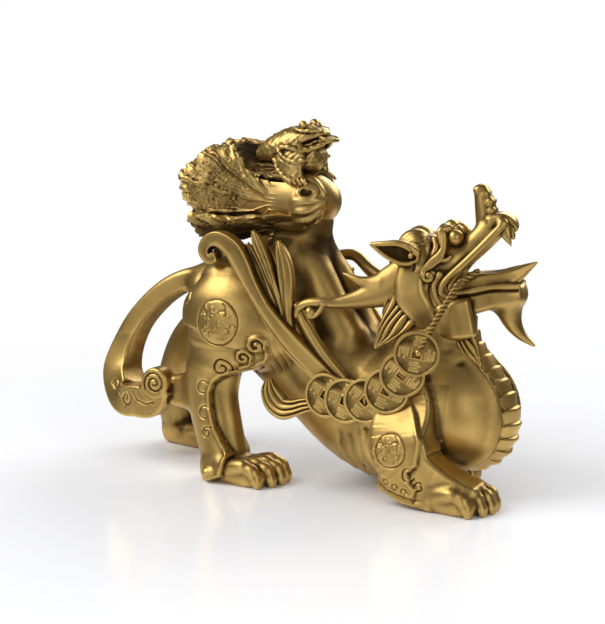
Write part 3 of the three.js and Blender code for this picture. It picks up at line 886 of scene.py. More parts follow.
for stations in (
    [
        [8, -27, 74, 2, 1],
        [3.6, -26.8, 86, 2.2, 1.6],
        [-0.4, -26.5, 95, 2.2, 2],
        [-4.4, -26, 103.6, 2.2, 2.5],
        [-8.6, -25.4, 111, 2, 2.8],
        [-11.2, -25, 115.8, 1, 0.9],
    ],
    [
        [13, -27.4, 65, 2, 1.4],
        [9, -27, 77, 2.2, 1.8],
        [8, -27, 87, 2.4, 3.1],
        [7.4, -26.8, 95, 2.4, 4],
        [6.2, -26.6, 102, 2.4, 3.9],
        [4.4, -26.4, 108, 2.2, 2.7],
        [2.6, -26.2, 112.6, 1, 0.8],
    ],
    [
        [6, -26, 74, 2, 1.4],
        [-3.6, -25.6, 90, 2, 2.4],
        [-9.6, -25, 101, 2, 2.8],
        [-14.6, -24.4, 109.6, 1, 1],
    ],
    [
        [10, -24.6, 70, 2, 1.4],
        [4, -24, 88, 2.2, 2.6],
        [-0.8, -23, 100, 2, 2.6],
        [-4.4, -22.4, 108.6, 1, 0.8],
    ],
):
    right_wing = joined(right_wing, feather(stations), 0.3)
left_feathers = joined(
    feather(
        [
            [15, 26, 68, 2.4, 2],
            [4, 25, 86, 2.8, 4],
            [-7, 23, 98, 2.4, 3.2],
            [-13, 22.5, 104, 0.9, 0.6],
        ]
    ),
    feather(
        [
            [38, 23, 46, 2.4, 3],
            [26, 25, 66, 2.8, 5],
            [17, 25.4, 79, 2.4, 4],
            [12, 25.5, 86, 0.9, 0.6],
        ]
    ),
    0.4,
)
left_wing = joined(other_side(wing_band), left_feathers, 0.4)
for name, form, low, high, most in (
    ("right_wing", right_wing, (-40, -35, 34), (46, -14, 118), 60_000),
    ("left_wing", left_wing, (-40, 14, 34), (46, 35, 118), 30_000),
):
    wing = sculpted(name, form, low, high, 0.4, most, even=1)
    dress(wing, golden_brass, "pixiu")


# The head.
# A dragon's head with its mouth wide open, cast with the neck and turned a little to the beast's left.
# It has a scroll over the nose, bulging eyes, curled brows, and rolled lips that end behind the mouth.

HEAD_PIVOT_X = 70
HEAD_TURN = math.radians(14)


def turned(form):
    """A form that is drawn for a head that looks straight ahead, on the turned head."""
    c, s = math.cos(HEAD_TURN), math.sin(HEAD_TURN)

    def distance(p):
        x, y, z = p.T
        x = x - HEAD_PIVOT_X
        return form(np.column_stack([x * c + y * s + HEAD_PIVOT_X, y * c - x * s, z]))

    return distance


def ball(x, y, z, radius):
    centre = np.array([x, y, z], np.float32)
    return lambda p: np.linalg.norm(p - centre, axis=1) - radius


def roll(points, radius, end=None):
    """A rounded roll along the points, which may get thinner towards its end."""
    count = len(points)
    sizes = np.linspace(radius, end or radius, count)
    return limb([[*point, size, size] for point, size in zip(points, sizes)])


def spiral_roll(x, y, z, radius, start, turns, thickness):
    """A roll that winds in to a bud at its centre, drawn on the side of the head."""
    flat = swirl(x, z, radius, start, turns, 0.1)[::3]
    rise = np.linspace(0, -0.8, len(flat))
    return roll([(a, y + up, b) for (a, b), up in zip(flat, rise)], thickness, thickness * 0.8)


def tuft(root, tip, width, depth, locks):
    """A pointed tuft of hair with creases between its locks, which run together at the tip."""
    root, tip = np.array(root, float), np.array(tip, float)
    middle = root * 0.45 + tip * 0.55 + np.array([0, -0.8, 0])

    def creases(t, a, b):
        bent = b + 0.12 * np.sin(3 * b + 5 * t)
        return 1.1 * (1 - 0.7 * t) * (0.7 - np.abs(np.cos(bent * math.pi * locks / 2)) ** 0.7)

    return limb(
        [[*root, width, depth], [*middle, width * 0.66, depth * 0.6], [*tip, 0.7, 0.7]],
        corner=0.6,
        reach=0.2,
        relief=creases,
    )


skull = limb([[56, 0, 104.6, 10.6, 10.4], [65, 0, 105.5, 12.6, 11.4], [76, 0, 106.5, 11.5, 9]])
temple = limb([[60, -4.6, 112.4, 7.6, 8], [62.4, -9, 109.6, 5.4, 6.8], [64.6, -12, 103, 3.4, 4.4]])
snout = limb(
    [
        [73, 0, 101, 12.2, 8],
        [82, 0, 107, 9.8, 6.4],
        [88.6, 0, 114.6, 7.6, 6.4],
        [94, 0, 120.6, 6.6, 5.6],
        [100, 0, 122.4, 5.4, 3.8],
    ],
    corner=0.85,
    reach=0.5,
)
face = joined(joined(skull, snout, 4), both_sides(temple), 1.6)
throat = limb([[68, 0, 86, 14, 12], [80, 0, 86, 12, 7.5]])
jaw = limb(
    [[72, 0, 86, 12.4, 7], [84, 0, 87.6, 12, 6], [96, 0, 90.4, 10, 5], [107.4, 0, 92.8, 7.4, 4.2]],
    corner=0.6,
    reach=0.3,
)
face = joined(face, joined(throat, jaw, 3), 3)

# The hollow of the mouth, between the lips.
mouth = limb(
    [[78, 0, 95.5, 10.5, 2.6], [86, 0, 99.2, 9, 5], [96, 0, 104, 8, 8.5], [108, 0, 108, 8, 12]],
    corner=0.5,
)
face = without(face, mouth, 1.5)
tongue = limb(
    [
        [76, 0, 94.5, 8, 3],
        [88, 0, 97.2, 7.6, 3.2],
        [98, 0, 98.4, 6.8, 3.4],
        [105, 0, 100.6, 5, 3.4],
        [110, 0, 103.6, 2.6, 2],
        [114, 0, 106.1, 0.7, 0.5],
    ],
    corner=0.6,
)
tongue = without(tongue, limb([[86, 0, 102.4, 3.6, 2], [98, 0, 103.6, 3.4, 2.2], [112, 0, 109, 2, 2]]), 1.2)
face = joined(face, tongue, 0.8)

# The cheek is a smooth sheet that hangs from under the ear to the corner of the jaw. In front of it, a
# plate closes the jaw below.
cheek = limb(
    [
        [61, -10.4, 104, 4.4, 6.8],
        [60.3, -12.6, 93, 4.6, 7.8],
        [64.5, -12.4, 85, 4.4, 7.2],
        [69.5, -11.4, 78, 3.8, 5.4],
        [74, -11, 72, 2.2, 2.4],
    ],
    corner=0.9,
)
jaw_plate = limb(
    [[73.6, -10.8, 80.4, 5.4, 7.6], [80, -11, 81, 6.4, 9.2], [86.8, -10.3, 82.4, 5.4, 9.4]],
    corner=0.5,
    reach=0.3,
)


def left_plate(p):
    """The left plate lies a little further back than the right one."""
    return jaw_plate(p * np.array([1, -1, 1], np.float32) + np.array([5, 0, 0], np.float32))


face = joined(face, joined(both_sides(cheek), joined(jaw_plate, left_plate, 0.5), 0.8), 0.9)
for points, start, end in (
    # Two folds of skin round the corner of the mouth.
    (
        [(69.8, -12, 101.4), (67.2, -13.2, 96), (67.8, -13.8, 90), (70.4, -13.8, 86), (74, -13.2, 83.6)],
        2.1,
        1.2,
    ),
    (
        [(73.4, -12.2, 101), (71, -13.2, 96.4), (71.6, -13.6, 91.4), (74, -13.6, 88), (77, -12.8, 86)],
        1.7,
        1.1,
    ),
    # The upper lip is a double roll, from the nose back to the corner of the mouth.
    (
        [
            (100.6, -6, 123.4),
            (97, -8, 119.9),
            (91.7, -9.4, 114.2),
            (84.6, -11, 107),
            (77.8, -12.6, 100.3),
            (74.8, -13.6, 96.4),
            (74.4, -13.6, 93),
            (76.6, -13, 91),
        ],
        1.8,
        1.5,
    ),
    (
        [
            (100, -5.6, 120.8),
            (96.4, -7.4, 117),
            (89.6, -8.8, 110),
            (83.2, -10.4, 104),
            (79.6, -11.8, 99.2),
            (77.8, -12.4, 95.6),
            (79, -12, 93),
        ],
        1.3,
        1.2,
    ),
    # The lower lip has a groove under it.
    (
        [(78.6, -12.2, 92.6), (85, -11.4, 93.6), (93, -10, 95.4), (101, -8.4, 96.4), (107.2, -6.8, 96.4)],
        1.3,
        1,
    ),
):
    face = joined(face, both_sides(roll(points, start, end)), 0.6)

# Brow, eye and nose. The brow is a strip that curls up at the top and ends in a bud on the cheek.
for x, y, z, radius in ((79.2, -8.2, 117, 3.5), (74.4, -6.4, 119.6, 3.4), (79.4, -4, 119.4, 2.6)):
    face = joined(face, both_sides(ball(x, y, z, radius)), 0.6)
brow = limb(
    [
        [76.6, -8, 121, 1.6, 1.6],
        [73.6, -9.8, 119.4, 2, 2.4],
        [74.2, -11, 115.6, 1.6, 2],
        [74.6, -11.8, 112.4, 1.4, 1.5],
        [73, -12.8, 108.8, 1.4, 2],
        [69.6, -13.4, 105.8, 1.4, 2.1],
        [67, -14, 103, 1.3, 1.5],
        [66, -14.6, 100.6, 1.2, 1.2],
    ],
    corner=0.8,
)
face = joined(face, both_sides(brow), 0.6)
for points, start, end in (
    # Two creases of the forehead behind the brow, and the crest at the brow's waist.
    (((70, -8.6, 116), (71, -10.4, 112.6), (69.6, -11.8, 108.4)), 1.6, 1.2),
    (((66.4, -9, 116), (67.2, -10.8, 112.6), (66.2, -12.4, 107)), 1.3, 1.2),
    (((72.6, -12.6, 107.6), (75.6, -12.2, 107.4), (78, -11.4, 109)), 1.4, 0.6),
):
    face = joined(face, both_sides(roll(points, start, end)), 1)
bud = joined(spiral_roll(68.8, -15, 100.4, 2.7, 160, 1.1, 1), ball(69, -15, 100.3, 1.2), 0.3)
face = joined(face, both_sides(bud), 0.3)
nose_scroll = limb(
    [
        [92, 0, 121, 4.8, 5.2],
        [91, 0, 128, 4.2, 4.8],
        [90, 0, 133.4, 4, 4.2],
        [88.8, 0, 137.4, 3.6, 3.4],
    ]
)
for x, y, z, radius in (
    (87.6, -1.6, 137.4, 2),
    (91, -1.8, 136, 2.1),
    (93.2, -2.4, 132.4, 2.1),
    (94, -2.6, 128.6, 2),
):
    nose_scroll = joined(nose_scroll, both_sides(ball(x, y, z, radius)), 1)
face = joined(face, nose_scroll, 1.6)
hood = limb(
    [
        [94, 0, 124, 6.4, 3.2],
        [99, 0, 125, 6, 2.9],
        [102.4, 0, 124, 4.8, 2.3],
        [104.2, 0, 121.8, 3, 1.5],
        [104.4, 0, 120, 1.6, 0.8],
    ],
    corner=0.9,
)
nostril = ball(99.4, -5.4, 123.4, 2.8)
face = joined(joined(face, hood, 0.8), both_sides(nostril), 0.8)
face = without(face, both_sides(ball(102, -6.4, 122.2, 1)), 0.5)
lip_hook = limb([[101.6, -4, 121, 1.8, 2.4], [103.6, -4.2, 118.8, 1.4, 1.6], [104.3, -4.2, 117, 0.8, 0.8]])
face = joined(face, lip_hook, 0.5)
fang = limb([[100, -5.8, 121.4, 1.6, 3], [101.8, -6, 117.8, 1.3, 2], [103.6, -5.8, 113.8, 0.3, 0.3]])
face = joined(face, fang, 0.4)
broken_fang = limb([[100, 5.8, 121.4, 1.6, 3], [102, 5.8, 117.4, 0.4, 0.5]])
face = joined(face, broken_fang, 0.4)

# The ears are hollow, with a thick rolled rim. The left one lies lower.
ear = limb(
    [
        [64, -12.4, 108.6, 3, 4.6],
        [58, -15.2, 110, 3.4, 5.6],
        [50.6, -17.2, 111.8, 2.8, 4],
        [43.6, -18, 113.9, 0.8, 0.8],
    ]
)
ear_hollow = limb(
    [
        [63, -18, 109.4, 4.4, 3],
        [57.4, -19.4, 110, 4.6, 4],
        [51, -20.4, 111.8, 3.6, 2.6],
        [46, -19.8, 113.4, 1.2, 0.8],
    ]
)
ear = without(ear, ear_hollow, 0.5)
for points, start, end in (
    (
        [
            (44, -18, 114),
            (49.5, -18.4, 114.4),
            (55.4, -18, 114.8),
            (60.5, -16.8, 113),
            (63.6, -15.4, 110.4),
        ],
        1,
        2,
    ),
    (
        [
            (44, -18, 113.6),
            (48.4, -18.4, 110.2),
            (52.6, -18.2, 107.6),
            (57.4, -17.4, 105.8),
            (61.8, -16, 106.2),
            (63.8, -15.4, 108.6),
            (62.4, -16.6, 110.4),
            (60.9, -17, 109),
        ],
        0.9,
        1.2,
    ),
):
    ear = joined(ear, roll(points, start, end), 0.5)


def left_ear(p):
    x, y, z = p.T
    return ear(np.column_stack([x, -y, z + 0.45 * (63 - x).clip(0, 30)]))


face = joined(face, joined(ear, left_ear, 0.5), 0.8)

# The beard, and the tufts of the mane and under the jaw.
goatee = limb(
    [
        [101, 0, 91, 7.6, 8],
        [102, 0, 84.6, 6.2, 6],
        [104, 0, 78.4, 4.6, 4],
        [107.8, 0, 73.2, 2.8, 2.3],
        [113.4, 0, 69, 0.7, 0.7],
    ],
)
face = joined(face, goatee, 5)
for root, tip, width, depth, locks in (
    ((58.6, -12.4, 86), (45.4, -17.8, 67.4), 3.4, 9, 5),
    ((56, -10, 90), (47, -12, 77), 3, 7, 4),
    ((78, -12, 76), (82, -10, 66), 2.6, 6, 4),
):
    face = joined(face, both_sides(tuft(root, tip, width, depth, locks)), 0.4)
face = joined(face, tuft((82, -10.6, 75), (92.6, -13.8, 59), 3, 8.4, 6), 0.3)
face_lines = [
    (((79.4, 91), (86, 91.8), (95, 93.8), (107, 94.4)), -0.7, 0.55),
    (((60, 114), (63, 109), (62, 103)), -0.5, 0.6),
]
beast_face = turned(carved(face, face_lines, beyond=5))
beast_head = sculpted("beast_head", beast_face, (38, -28, 48), (118, 46, 146), 0.34, 140_000)
dress(beast_head, golden_brass, "pixiu")


# The horns.
# They sweep back from behind the ears over the neck, cast with the head. The right one has a prong, and
# each ends in a small cloud scroll, the left one in a ring that shows behind the right.

right_horn = limb(
    [
        [60, -10, 98, 5, 10],
        [51, -13.5, 93, 4.8, 8.4],
        [41, -17.5, 88.4, 3.8, 4.8],
        [31, -22, 86.2, 3, 2.8],
        [24, -25.4, 86.2, 2.6, 2.2],
        [18, -26.4, 85.4, 2.6, 2.2],
        [13.8, -26.8, 82.8, 2.4, 1.8],
        [12.8, -27, 79, 2, 1],
    ],
)
prong = limb(
    [
        [48, -14.6, 94, 3.6, 5],
        [41, -16.8, 95.4, 2.6, 2.8],
        [36.4, -18, 97.2, 1.6, 1.6],
        [31.8, -18.8, 99, 0.5, 0.5],
    ]
)
right_horn = joined(right_horn, prong, 1.5)
right_horn = joined(right_horn, ball(20, -27.4, 81.6, 2.6), 0.8)
curl = roll([(26, -26.6, 85.4), (24.6, -27.4, 82.4), (22, -28, 80), (18.6, -28, 79.4)], 1.2, 0.9)
right_horn = joined(right_horn, curl, 0.6)
left_horn = limb(
    [
        [58, 8, 98, 5, 9],
        [47, 12, 93, 4.4, 6],
        [36, 15.5, 91, 3.6, 4],
        [26, 18, 95, 3, 3],
        [17, 19.5, 101, 3, 2.6],
        [8, 20, 100, 3, 2.4],
        [8, 20, 94.5, 3, 2.2],
        [14, 20, 94, 3, 2],
    ],
)
beast_horns = joined(right_horn, left_horn, 0.5)
horns = sculpted("horns", beast_horns, (2, -34, 74), (66, 28, 114), 0.34, 45_000, even=2)
dress(horns, golden_brass, "pixiu")


# The breast plates.
# Fourteen overlapping plates run down the front of the neck and chest, cast with the body. Each is wrapped
# round the chest, and its lower edge stands out a little over the next one.

PLATE_COUNT = 14
PLATE_LEAN = 0.24
# The line down the front that they follow, as x and z.
PLATE_PATH = [
    (85.4, 84), (86.6, 76), (89.8, 68), (95.8, 60.4), (102.6, 51),
    (106.8, 42), (107.4, 34), (105.2, 26), (99.8, 19), (91, 14.4),
]
plate_half = [[-2.1, -8, 0, 2.7, 1.3], [-1.2, -5.8, 0, 3.7, 1.8], [-0.3, -3, 0, 4.2, 2.1]]
plate_form = limb(
    [*plate_half, [0, 0, 0, 4.4, 2.2], *([x, -y, z, *size] for x, y, z, *size in reversed(plate_half))],
    across=(0, 0, 1),
    corner=0.6,
    reach=0.9,
)


def node_tree(name, inputs):
    """A Geometry Nodes tree with named inputs. Returns the tree and a function that adds its nodes."""
    tree = bpy.data.node_groups.new(name, "GeometryNodeTree")
    tree.interface.new_socket("Geometry", in_out="INPUT", socket_type="NodeSocketGeometry")
    for label, kind, value in inputs:
        socket = tree.interface.new_socket(label, in_out="INPUT", socket_type="NodeSocket" + kind)
        socket.default_value = value
    tree.interface.new_socket("Geometry", in_out="OUTPUT", socket_type="NodeSocketGeometry")

    def add(kind, settings=None, **inputs):
        """Adds a node. An input is a value, or an output of an earlier node."""
        made = tree.nodes.new(kind)
        for key, value in (settings or {}).items():
            setattr(made, key, value)
        for key, value in inputs.items():
            socket = made.inputs[int(key[1:])] if key[0] == "_" else made.inputs[key.replace("_", " ")]
            if isinstance(value, bpy.types.NodeSocket):
                tree.links.new(value, socket)
            else:
                socket.default_value = value
        return made

    return tree, add, add("NodeGroupInput").outputs, add("NodeGroupOutput").inputs


def maths(add, operation, *values):
    """The result of one sum in a node tree."""
    inputs = {f"_{i}": value for i, value in enumerate(values)}
    return add("ShaderNodeMath", {"operation": operation}, **inputs).outputs[0]


def smooth_path(add, given):
    """The points that a tree starts from, joined by a smooth curve."""
    path = add("GeometryNodeMeshToCurve", Mesh=given["Geometry"]).outputs[0]
    return add("GeometryNodeCurveSplineType", {"spline_type": "CATMULL_ROM"}, Curve=path).outputs[0]


def attribute(add, name):
    return add("GeometryNodeInputNamedAttribute", {"data_type": "FLOAT"}, Name=name).outputs["Attribute"]


def placed(add, points, thing, **turned_and_sized):
    """The object on each of the points, as instances."""
    one = add("GeometryNodeObjectInfo", Object=thing).outputs["Geometry"]
    return add("GeometryNodeInstanceOnPoints", Points=points, Instance=one, **turned_and_sized).outputs[0]


def finish_tree(tree, add, made, out, material):
    """The tree ends in a real mesh with its material."""
    real = add("GeometryNodeRealizeInstances", _0=made)
    smooth = add("GeometryNodeSetShadeSmooth", _0=real.outputs[0])
    painted = add("GeometryNodeSetMaterial", _0=smooth.outputs[0])
    painted.inputs["Material"].default_value = material
    tree.links.new(painted.outputs[0], out[0])


def drawn(name, points, in_a_row=False, **attributes):
    """A mesh of a few points in mm, for a tree to start from. Points in a row are joined by edges."""
    edges = [(i, i + 1) for i in range(len(points) - 1)] if in_a_row else []
    mesh = bpy.data.meshes.new(name)
    mesh.from_pydata([((x - MIDDLE_X) * MM, y * MM, z * MM) for x, y, z in points], edges, [])
    for label, values in attributes.items():
        mesh.attributes.new(label, "FLOAT", "POINT").data.foreach_set("value", values)
    return mesh


def grown(name, tree, mesh, values=None):
    """Runs a tree on a mesh, and keeps the result as a plain mesh."""
    piece = bpy.data.objects.new(name, mesh)
    bpy.context.scene.collection.objects.link(piece)
    modifier = piece.modifiers.new(name, "NODES")
    modifier.node_group = tree
    for item in tree.interface.items_tree:
        if values and item.in_out == "INPUT" and item.name in values:
            modifier[item.identifier] = values[item.name]
    apply_modifiers(piece)
    return piece


tree, add, given, out = node_tree(
    "overlapping plates",
    [("Plate", "Object", None), ("Count", "Int", PLATE_COUNT), ("Lean", "Float", PLATE_LEAN)],
)
path = add("GeometryNodeResampleCurve", Curve=smooth_path(add, given), Count=given["Count"]).outputs[0]
tangent = add("ShaderNodeSeparateXYZ", _0=add("GeometryNodeInputTangent").outputs[0]).outputs
turn = maths(add, "ARCTAN2", tangent["X"], maths(add, "MULTIPLY", tangent["Z"], -1.0))
tilt = add("ShaderNodeCombineXYZ", Y=maths(add, "SUBTRACT", given["Lean"], turn)).outputs[0]
index = add("GeometryNodeInputIndex").outputs[0]
share = maths(add, "DIVIDE", index, maths(add, "SUBTRACT", given["Count"], 1.0))
width = maths(add, "MULTIPLY_ADD", maths(add, "SINE", maths(add, "MULTIPLY", share, math.pi)), 0.2, 0.8)
size = add("ShaderNodeCombineXYZ", X=1.0, Y=width, Z=1.0).outputs[0]
plates = placed(add, path, given["Plate"], Rotation=tilt, Scale=size)
finish_tree(tree, add, plates, out, golden_brass)
plate = sculpted("plate", plate_form, (-10, -20, -7), (6, 20, 7), 0.35, 2400)
plate.data.transform(TO_ORIGIN)
plate_path = drawn("plate path", [(x, 0, z) for x, z in PLATE_PATH], in_a_row=True)
breast_plates = grown("breast_plates", tree, plate_path, {"Plate": plate})
# Painted shade where the plates lie close over the chest.
shade(breast_plates, body)
dress(breast_plates, golden_brass, "pixiu")
bpy.data.objects.remove(plate)


# The string of coins.
# Six cash coins overlap along the beast's flank. A twisted cord hangs from its mouth into the first
# coin's hole, and a tassel curls up behind the last. All are one casting, fixed on the right side.

COIN_RADIUS = 10.1
COIN_THICKNESS = 2
COIN_HOLE = 3.4
# Each coin's middle, how far its face turns from the beast's side towards its front, and how far it is
# turned about its own middle, in degrees.
COIN_PLACES = [
    (75, -30.6, 68.5, 26, 12),
    (68.7, -31.8, 58.8, 20, 38),
    (61.4, -32.6, 51, 14, 25),
    (51.2, -33.1, 45.6, 8, 40),
    (40.9, -32.9, 44.4, 4, 18),
    (30.5, -32, 45.6, 2, 33),
]


def coin_form(p):
    """One coin in the plane of x and z: a thin rim round a sunk face, a square hole with a rim of its
    own, and rows of short strokes on its four sides."""
    x, y, z = p.T
    out = np.hypot(x, z)
    square = np.maximum(np.abs(x), np.abs(z))
    rim = 1 - smoothstep(COIN_RADIUS - out, 1.0, 1.5)
    border = 1 - smoothstep(square - COIN_HOLE / 2, 0.55, 0.95)
    strokes = np.zeros(len(p), np.float32)
    for k in range(4):
        a, b = (x, z) if k % 2 else (z, x)
        a = a if k < 2 else -a
        for row, (at, half) in enumerate(((3.9, 1.5), (5.1, 2.1), (6.3, 1.2), (7.4, 1.7))):
            along = np.maximum(np.abs(b - 0.5 * math.sin(5 * k + 3 * row)) - half, 0)
            strokes = np.maximum(strokes, np.exp(-(((a - at) / 0.36) ** 2) - (along / 0.35) ** 2))
    face = COIN_THICKNESS / 2 - 0.45 + np.maximum(0.5 * np.maximum(rim, border), 0.32 * strokes)
    flat = np.maximum(np.abs(y) - face, out - COIN_RADIUS)
    return np.maximum(flat, COIN_HOLE / 2 - square)


coin = sculpted("coin", coin_form, (-11.4, -2.2, -11.4), (11.4, 2.2, 11.4), 0.2, 8000)
coin.data.transform(TO_ORIGIN)

tree, add, given, out = node_tree("coins in a row", [("Coin", "Object", None)])
facing = add("ShaderNodeCombineXYZ", Y=attribute(add, "own_turn"), Z=attribute(add, "turn")).outputs[0]
finish_tree(tree, add, placed(add, given["Geometry"], given["Coin"], Rotation=facing), out, golden_brass)
turns, own_turns = ([math.radians(place[k]) for place in COIN_PLACES] for k in (3, 4))
coin_points = drawn("coin points", [place[:3] for place in COIN_PLACES], turn=turns, own_turn=own_turns)
coin_row = grown("coins", tree, coin_points, {"Coin": coin})
bpy.data.objects.remove(coin)
dress(coin_row, golden_brass, "coin_string")

# The cord is three strands twisted together, and is thicker where it comes out of the mouth.
CORD_RADIUS = 1.45
CORD_PATH = [(90.5, -1, 101.6), (86.5, -6.6, 98.8), (85.4, -14, 95.5), (81.5, -23.5, 84), (76.5, -31, 70)]
THICK_CORD_RADIUS = 1.9

tree, add, given, out = node_tree(
    "twisted cord",
    [
        ("Radius", "Float", CORD_RADIUS * MM),
        ("Turn Each Step", "Float", 0.32),
        ("Step", "Float", 0.35 * MM),
    ],
)
path = smooth_path(add, given)
path = add("GeometryNodeResampleCurve", {"mode": "LENGTH"}, Curve=path, Length=given["Step"]).outputs[0]
twist = maths(add, "MULTIPLY", add("GeometryNodeInputIndex").outputs[0], given["Turn Each Step"])
path = add("GeometryNodeSetCurveTilt", Curve=path, Tilt=twist).outputs[0]
ring, strand = (
    add(
        "GeometryNodeCurvePrimitiveCircle",
        Resolution=points,
        Radius=maths(add, "MULTIPLY", given["Radius"], share),
    ).outputs[0]
    for points, share in ((3, 0.52), (12, 0.56))
)
strands = add("GeometryNodeInstanceOnPoints", Points=ring, Instance=strand).outputs[0]
strands = add("GeometryNodeRealizeInstances", _0=strands).outputs[0]
cord = add("GeometryNodeCurveToMesh", Curve=path, Profile_Curve=strands, Fill_Caps=True).outputs[0]
finish_tree(tree, add, cord, out, golden_brass)
cord_piece = grown("twisted_cord", tree, drawn("cord path", CORD_PATH, in_a_row=True))
dress(cord_piece, golden_brass, "coin_string")
thick_path = drawn("thick cord path", CORD_PATH[:3], in_a_row=True)
thick_values = {"Radius": THICK_CORD_RADIUS * MM, "Turn Each Step": 0.24}
thick_cord = grown("cord_in_mouth", tree, thick_path, thick_values)
dress(thick_cord, golden_brass, "coin_string")
cord_end = sculpted("cord_end", ball(76.4, -31.6, 69.2, 1.7), (73, -35, 66), (80, -28, 73), 0.3, 3000)
dress(cord_end, golden_brass, "coin_string")


def strands_of_tassel(t, a, b):
    """Combed strands, which part at the tips."""
    return 0.85 - 1.3 * np.abs(np.sin(b * 5.6 + 0.5 * np.sin(t * 6) + 0.4 * a))


tassel = limb(
    [
        [25, -29.6, 41, 1.4, 2.6],
        [19, -30.6, 39.7, 2, 3.4],
        [13.5, -31.4, 37.8, 2.4, 4],
        [8, -31.4, 37.4, 2.6, 5.4],
        [3.8, -31, 40.4, 2.4, 6],
        [1, -30.6, 44.8, 2, 4.8],
        [0, -30.4, 49.4, 1, 2],
    ],
    relief=strands_of_tassel,
    steps=10,
    reach=0.5,
)
tassel_piece = sculpted("tassel", tassel, (-10, -38, 26), (31, -25, 57), 0.28, 26_000)
dress(tassel_piece, golden_brass, "coin_string")


# The cabbage.
# It lies along the beast's back with its root forward. Veined leaves with ruffled edges open backwards
# from smooth stalks, which fold over each other at the root. It is one casting, fixed on the saddle.

CABBAGE_AXIS_Y = 1
CABBAGE_AXIS_Z = 129
VEINS_FROM_X = -11
dark_brass = brass(
    "dark_brass",
    bright=(0.47, 0.32, 0.11),
    dark=(0.078, 0.047, 0.016),
    roughness=0.4,
    gain=1.15,
)


def leaf(name, grid, stalk, blade, root, tip, base, flare, cut, lift, opens, age, seed):
    """A leaf wrapped round the cabbage's axis, with "grid" points along and across. "stalk" and "blade"
    are the directions of its two edges at the root and at the tip, in degrees from the beast's left
    upwards. "flare" says how far each edge of the blade stands out, "cut" by what share the blade is
    shorter at each edge, "opens" along which share of its length it opens, and "age" adds patina."""
    rows, columns = grid
    u, v = np.meshgrid(np.linspace(0, 1, rows), np.linspace(0, 1, columns), indexing="ij")
    side = 2 * v - 1
    opened = smoothstep(u, *opens)
    wide = smoothstep(u, opens[0] + 0.1, opens[1] + 0.2)
    low = np.radians(stalk[0] + (blade[0] - stalk[0]) * wide)
    high = np.radians(stalk[1] + (blade[1] - stalk[1]) * wide)
    angle = low + (high - low) * v
    rim = np.abs(side) ** 6 * opened + smoothstep(u, 0.86, 1)
    ruffle = np.sin(side * 11 + u * 9 + seed) + 0.7 * np.sin(side * 27 + u * 41 + 2 * seed)
    radius = base + (flare[0] + (flare[1] - flare[0]) * v) * opened**1.4 + 0.8 * rim * ruffle
    teeth = 0.45 * np.sin(side * 49 + seed) + 0.5 * np.sin(side * 21 + 2 * seed)
    shorter = cut[0] * smoothstep(-side, 0.1, 1) + cut[1] * smoothstep(side, 0.1, 1)
    reach = tip * (1 - shorter * opened) + teeth * opened
    x = root + (reach - root) * u
    y = CABBAGE_AXIS_Y + radius * np.cos(angle)
    z = CABBAGE_AXIS_Z + lift * opened + radius * np.sin(angle)
    sheet = np.stack([x, y, z], -1)

    # Veins fan out from the end of the stalk, and the leaf is crinkled between them.
    back = VEINS_FROM_X - x
    across = radius * (angle - (low + high) / 2)
    fan = np.arctan2(across, np.maximum(back, 0.01) + 4)
    far = np.hypot(across, np.maximum(back, 0))
    wave = fan * 9 + 0.12 * np.sin(far * 0.5)
    vein = np.abs(np.sin(wave))
    fold, net, fine_net = (
        np.array([noise.noise(Vector(p) * scale) for p in sheet.reshape(-1, 3)]).reshape(x.shape)
        for scale in (0.11, 0.3, 0.75)
    )
    grown_in = smoothstep(back, 0, 22)
    height = 0.8 * np.exp(-((vein / 0.16) ** 2)) + 0.4 * np.exp(-((vein / 0.6) ** 2))
    height *= smoothstep(back, -6, 6)
    height += (0.32 * np.exp(-((net / 0.09) ** 2)) + 0.12 * np.exp(-((fine_net / 0.12) ** 2))) * grown_in
    normal = np.cross(np.gradient(sheet, axis=0), np.gradient(sheet, axis=1))
    normal /= np.linalg.norm(normal, axis=2, keepdims=True) + 1e-9
    outward = np.stack([0 * x, y - CABBAGE_AXIS_Y, z - CABBAGE_AXIS_Z], -1)
    normal *= np.sign((normal * outward).sum(2, keepdims=True).mean())
    thick = (1.2 - 0.6 * rim.clip(0, 1))[..., None]
    sheet = sheet + normal * (0.9 * fold * grown_in)[..., None]
    outer = sheet + normal * (thick + height[..., None])
    inner = sheet - normal * (thick - 0.6 * height[..., None])

    count = rows * columns
    number = np.arange(count).reshape(rows, columns)
    a, b, c, d = number[:-1, :-1], number[1:, :-1], number[1:, 1:], number[:-1, 1:]
    faces = np.stack([a, b, c, d], -1).reshape(-1, 4)
    edge = np.concatenate([number[:, 0], number[-1, 1:], number[-2::-1, -1], number[0, -2:0:-1]])
    wall = np.stack([edge, np.roll(edge, -1), np.roll(edge, -1) + count, edge + count], -1)
    facing = np.cross(sheet[1, 0] - sheet[0, 0], sheet[0, 1] - sheet[0, 0])
    if normal[0, 0] @ facing <= 0:
        faces, wall = faces[:, ::-1], wall[:, ::-1]
    all_faces = np.vstack([faces, faces[:, ::-1] + count, wall[:, ::-1]])
    mesh = bpy.data.meshes.new(name)
    points = np.vstack([outer.reshape(-1, 3), inner.reshape(-1, 3)])
    mesh.from_pydata((points - np.array([MIDDLE_X, 0, 0])) * MM, [], all_faces.tolist())
    piece = bpy.data.objects.new(name, mesh)
    bpy.context.scene.collection.objects.link(piece)
    # The patina is thicker on the blade than on the stalk and the edge, and the age of a leaf adds to it.
    # Painted shade darkens the inside of each leaf more than its outside, and darkens the leaves low down
    # over the saddle.
    inside = np.concatenate([np.zeros(count), np.ones(count)])
    thickness = 0.26 * np.tile((grown_in * (1 - rim.clip(0, 1))).ravel(), 2) + 0.4 * inside + age
    thickness += 0.4 * smoothstep(-np.tile(sheet[:, :, 2].ravel(), 2), -121, -114)
    shade(piece, darkening_by_place=lambda place: thickness)
    return piece


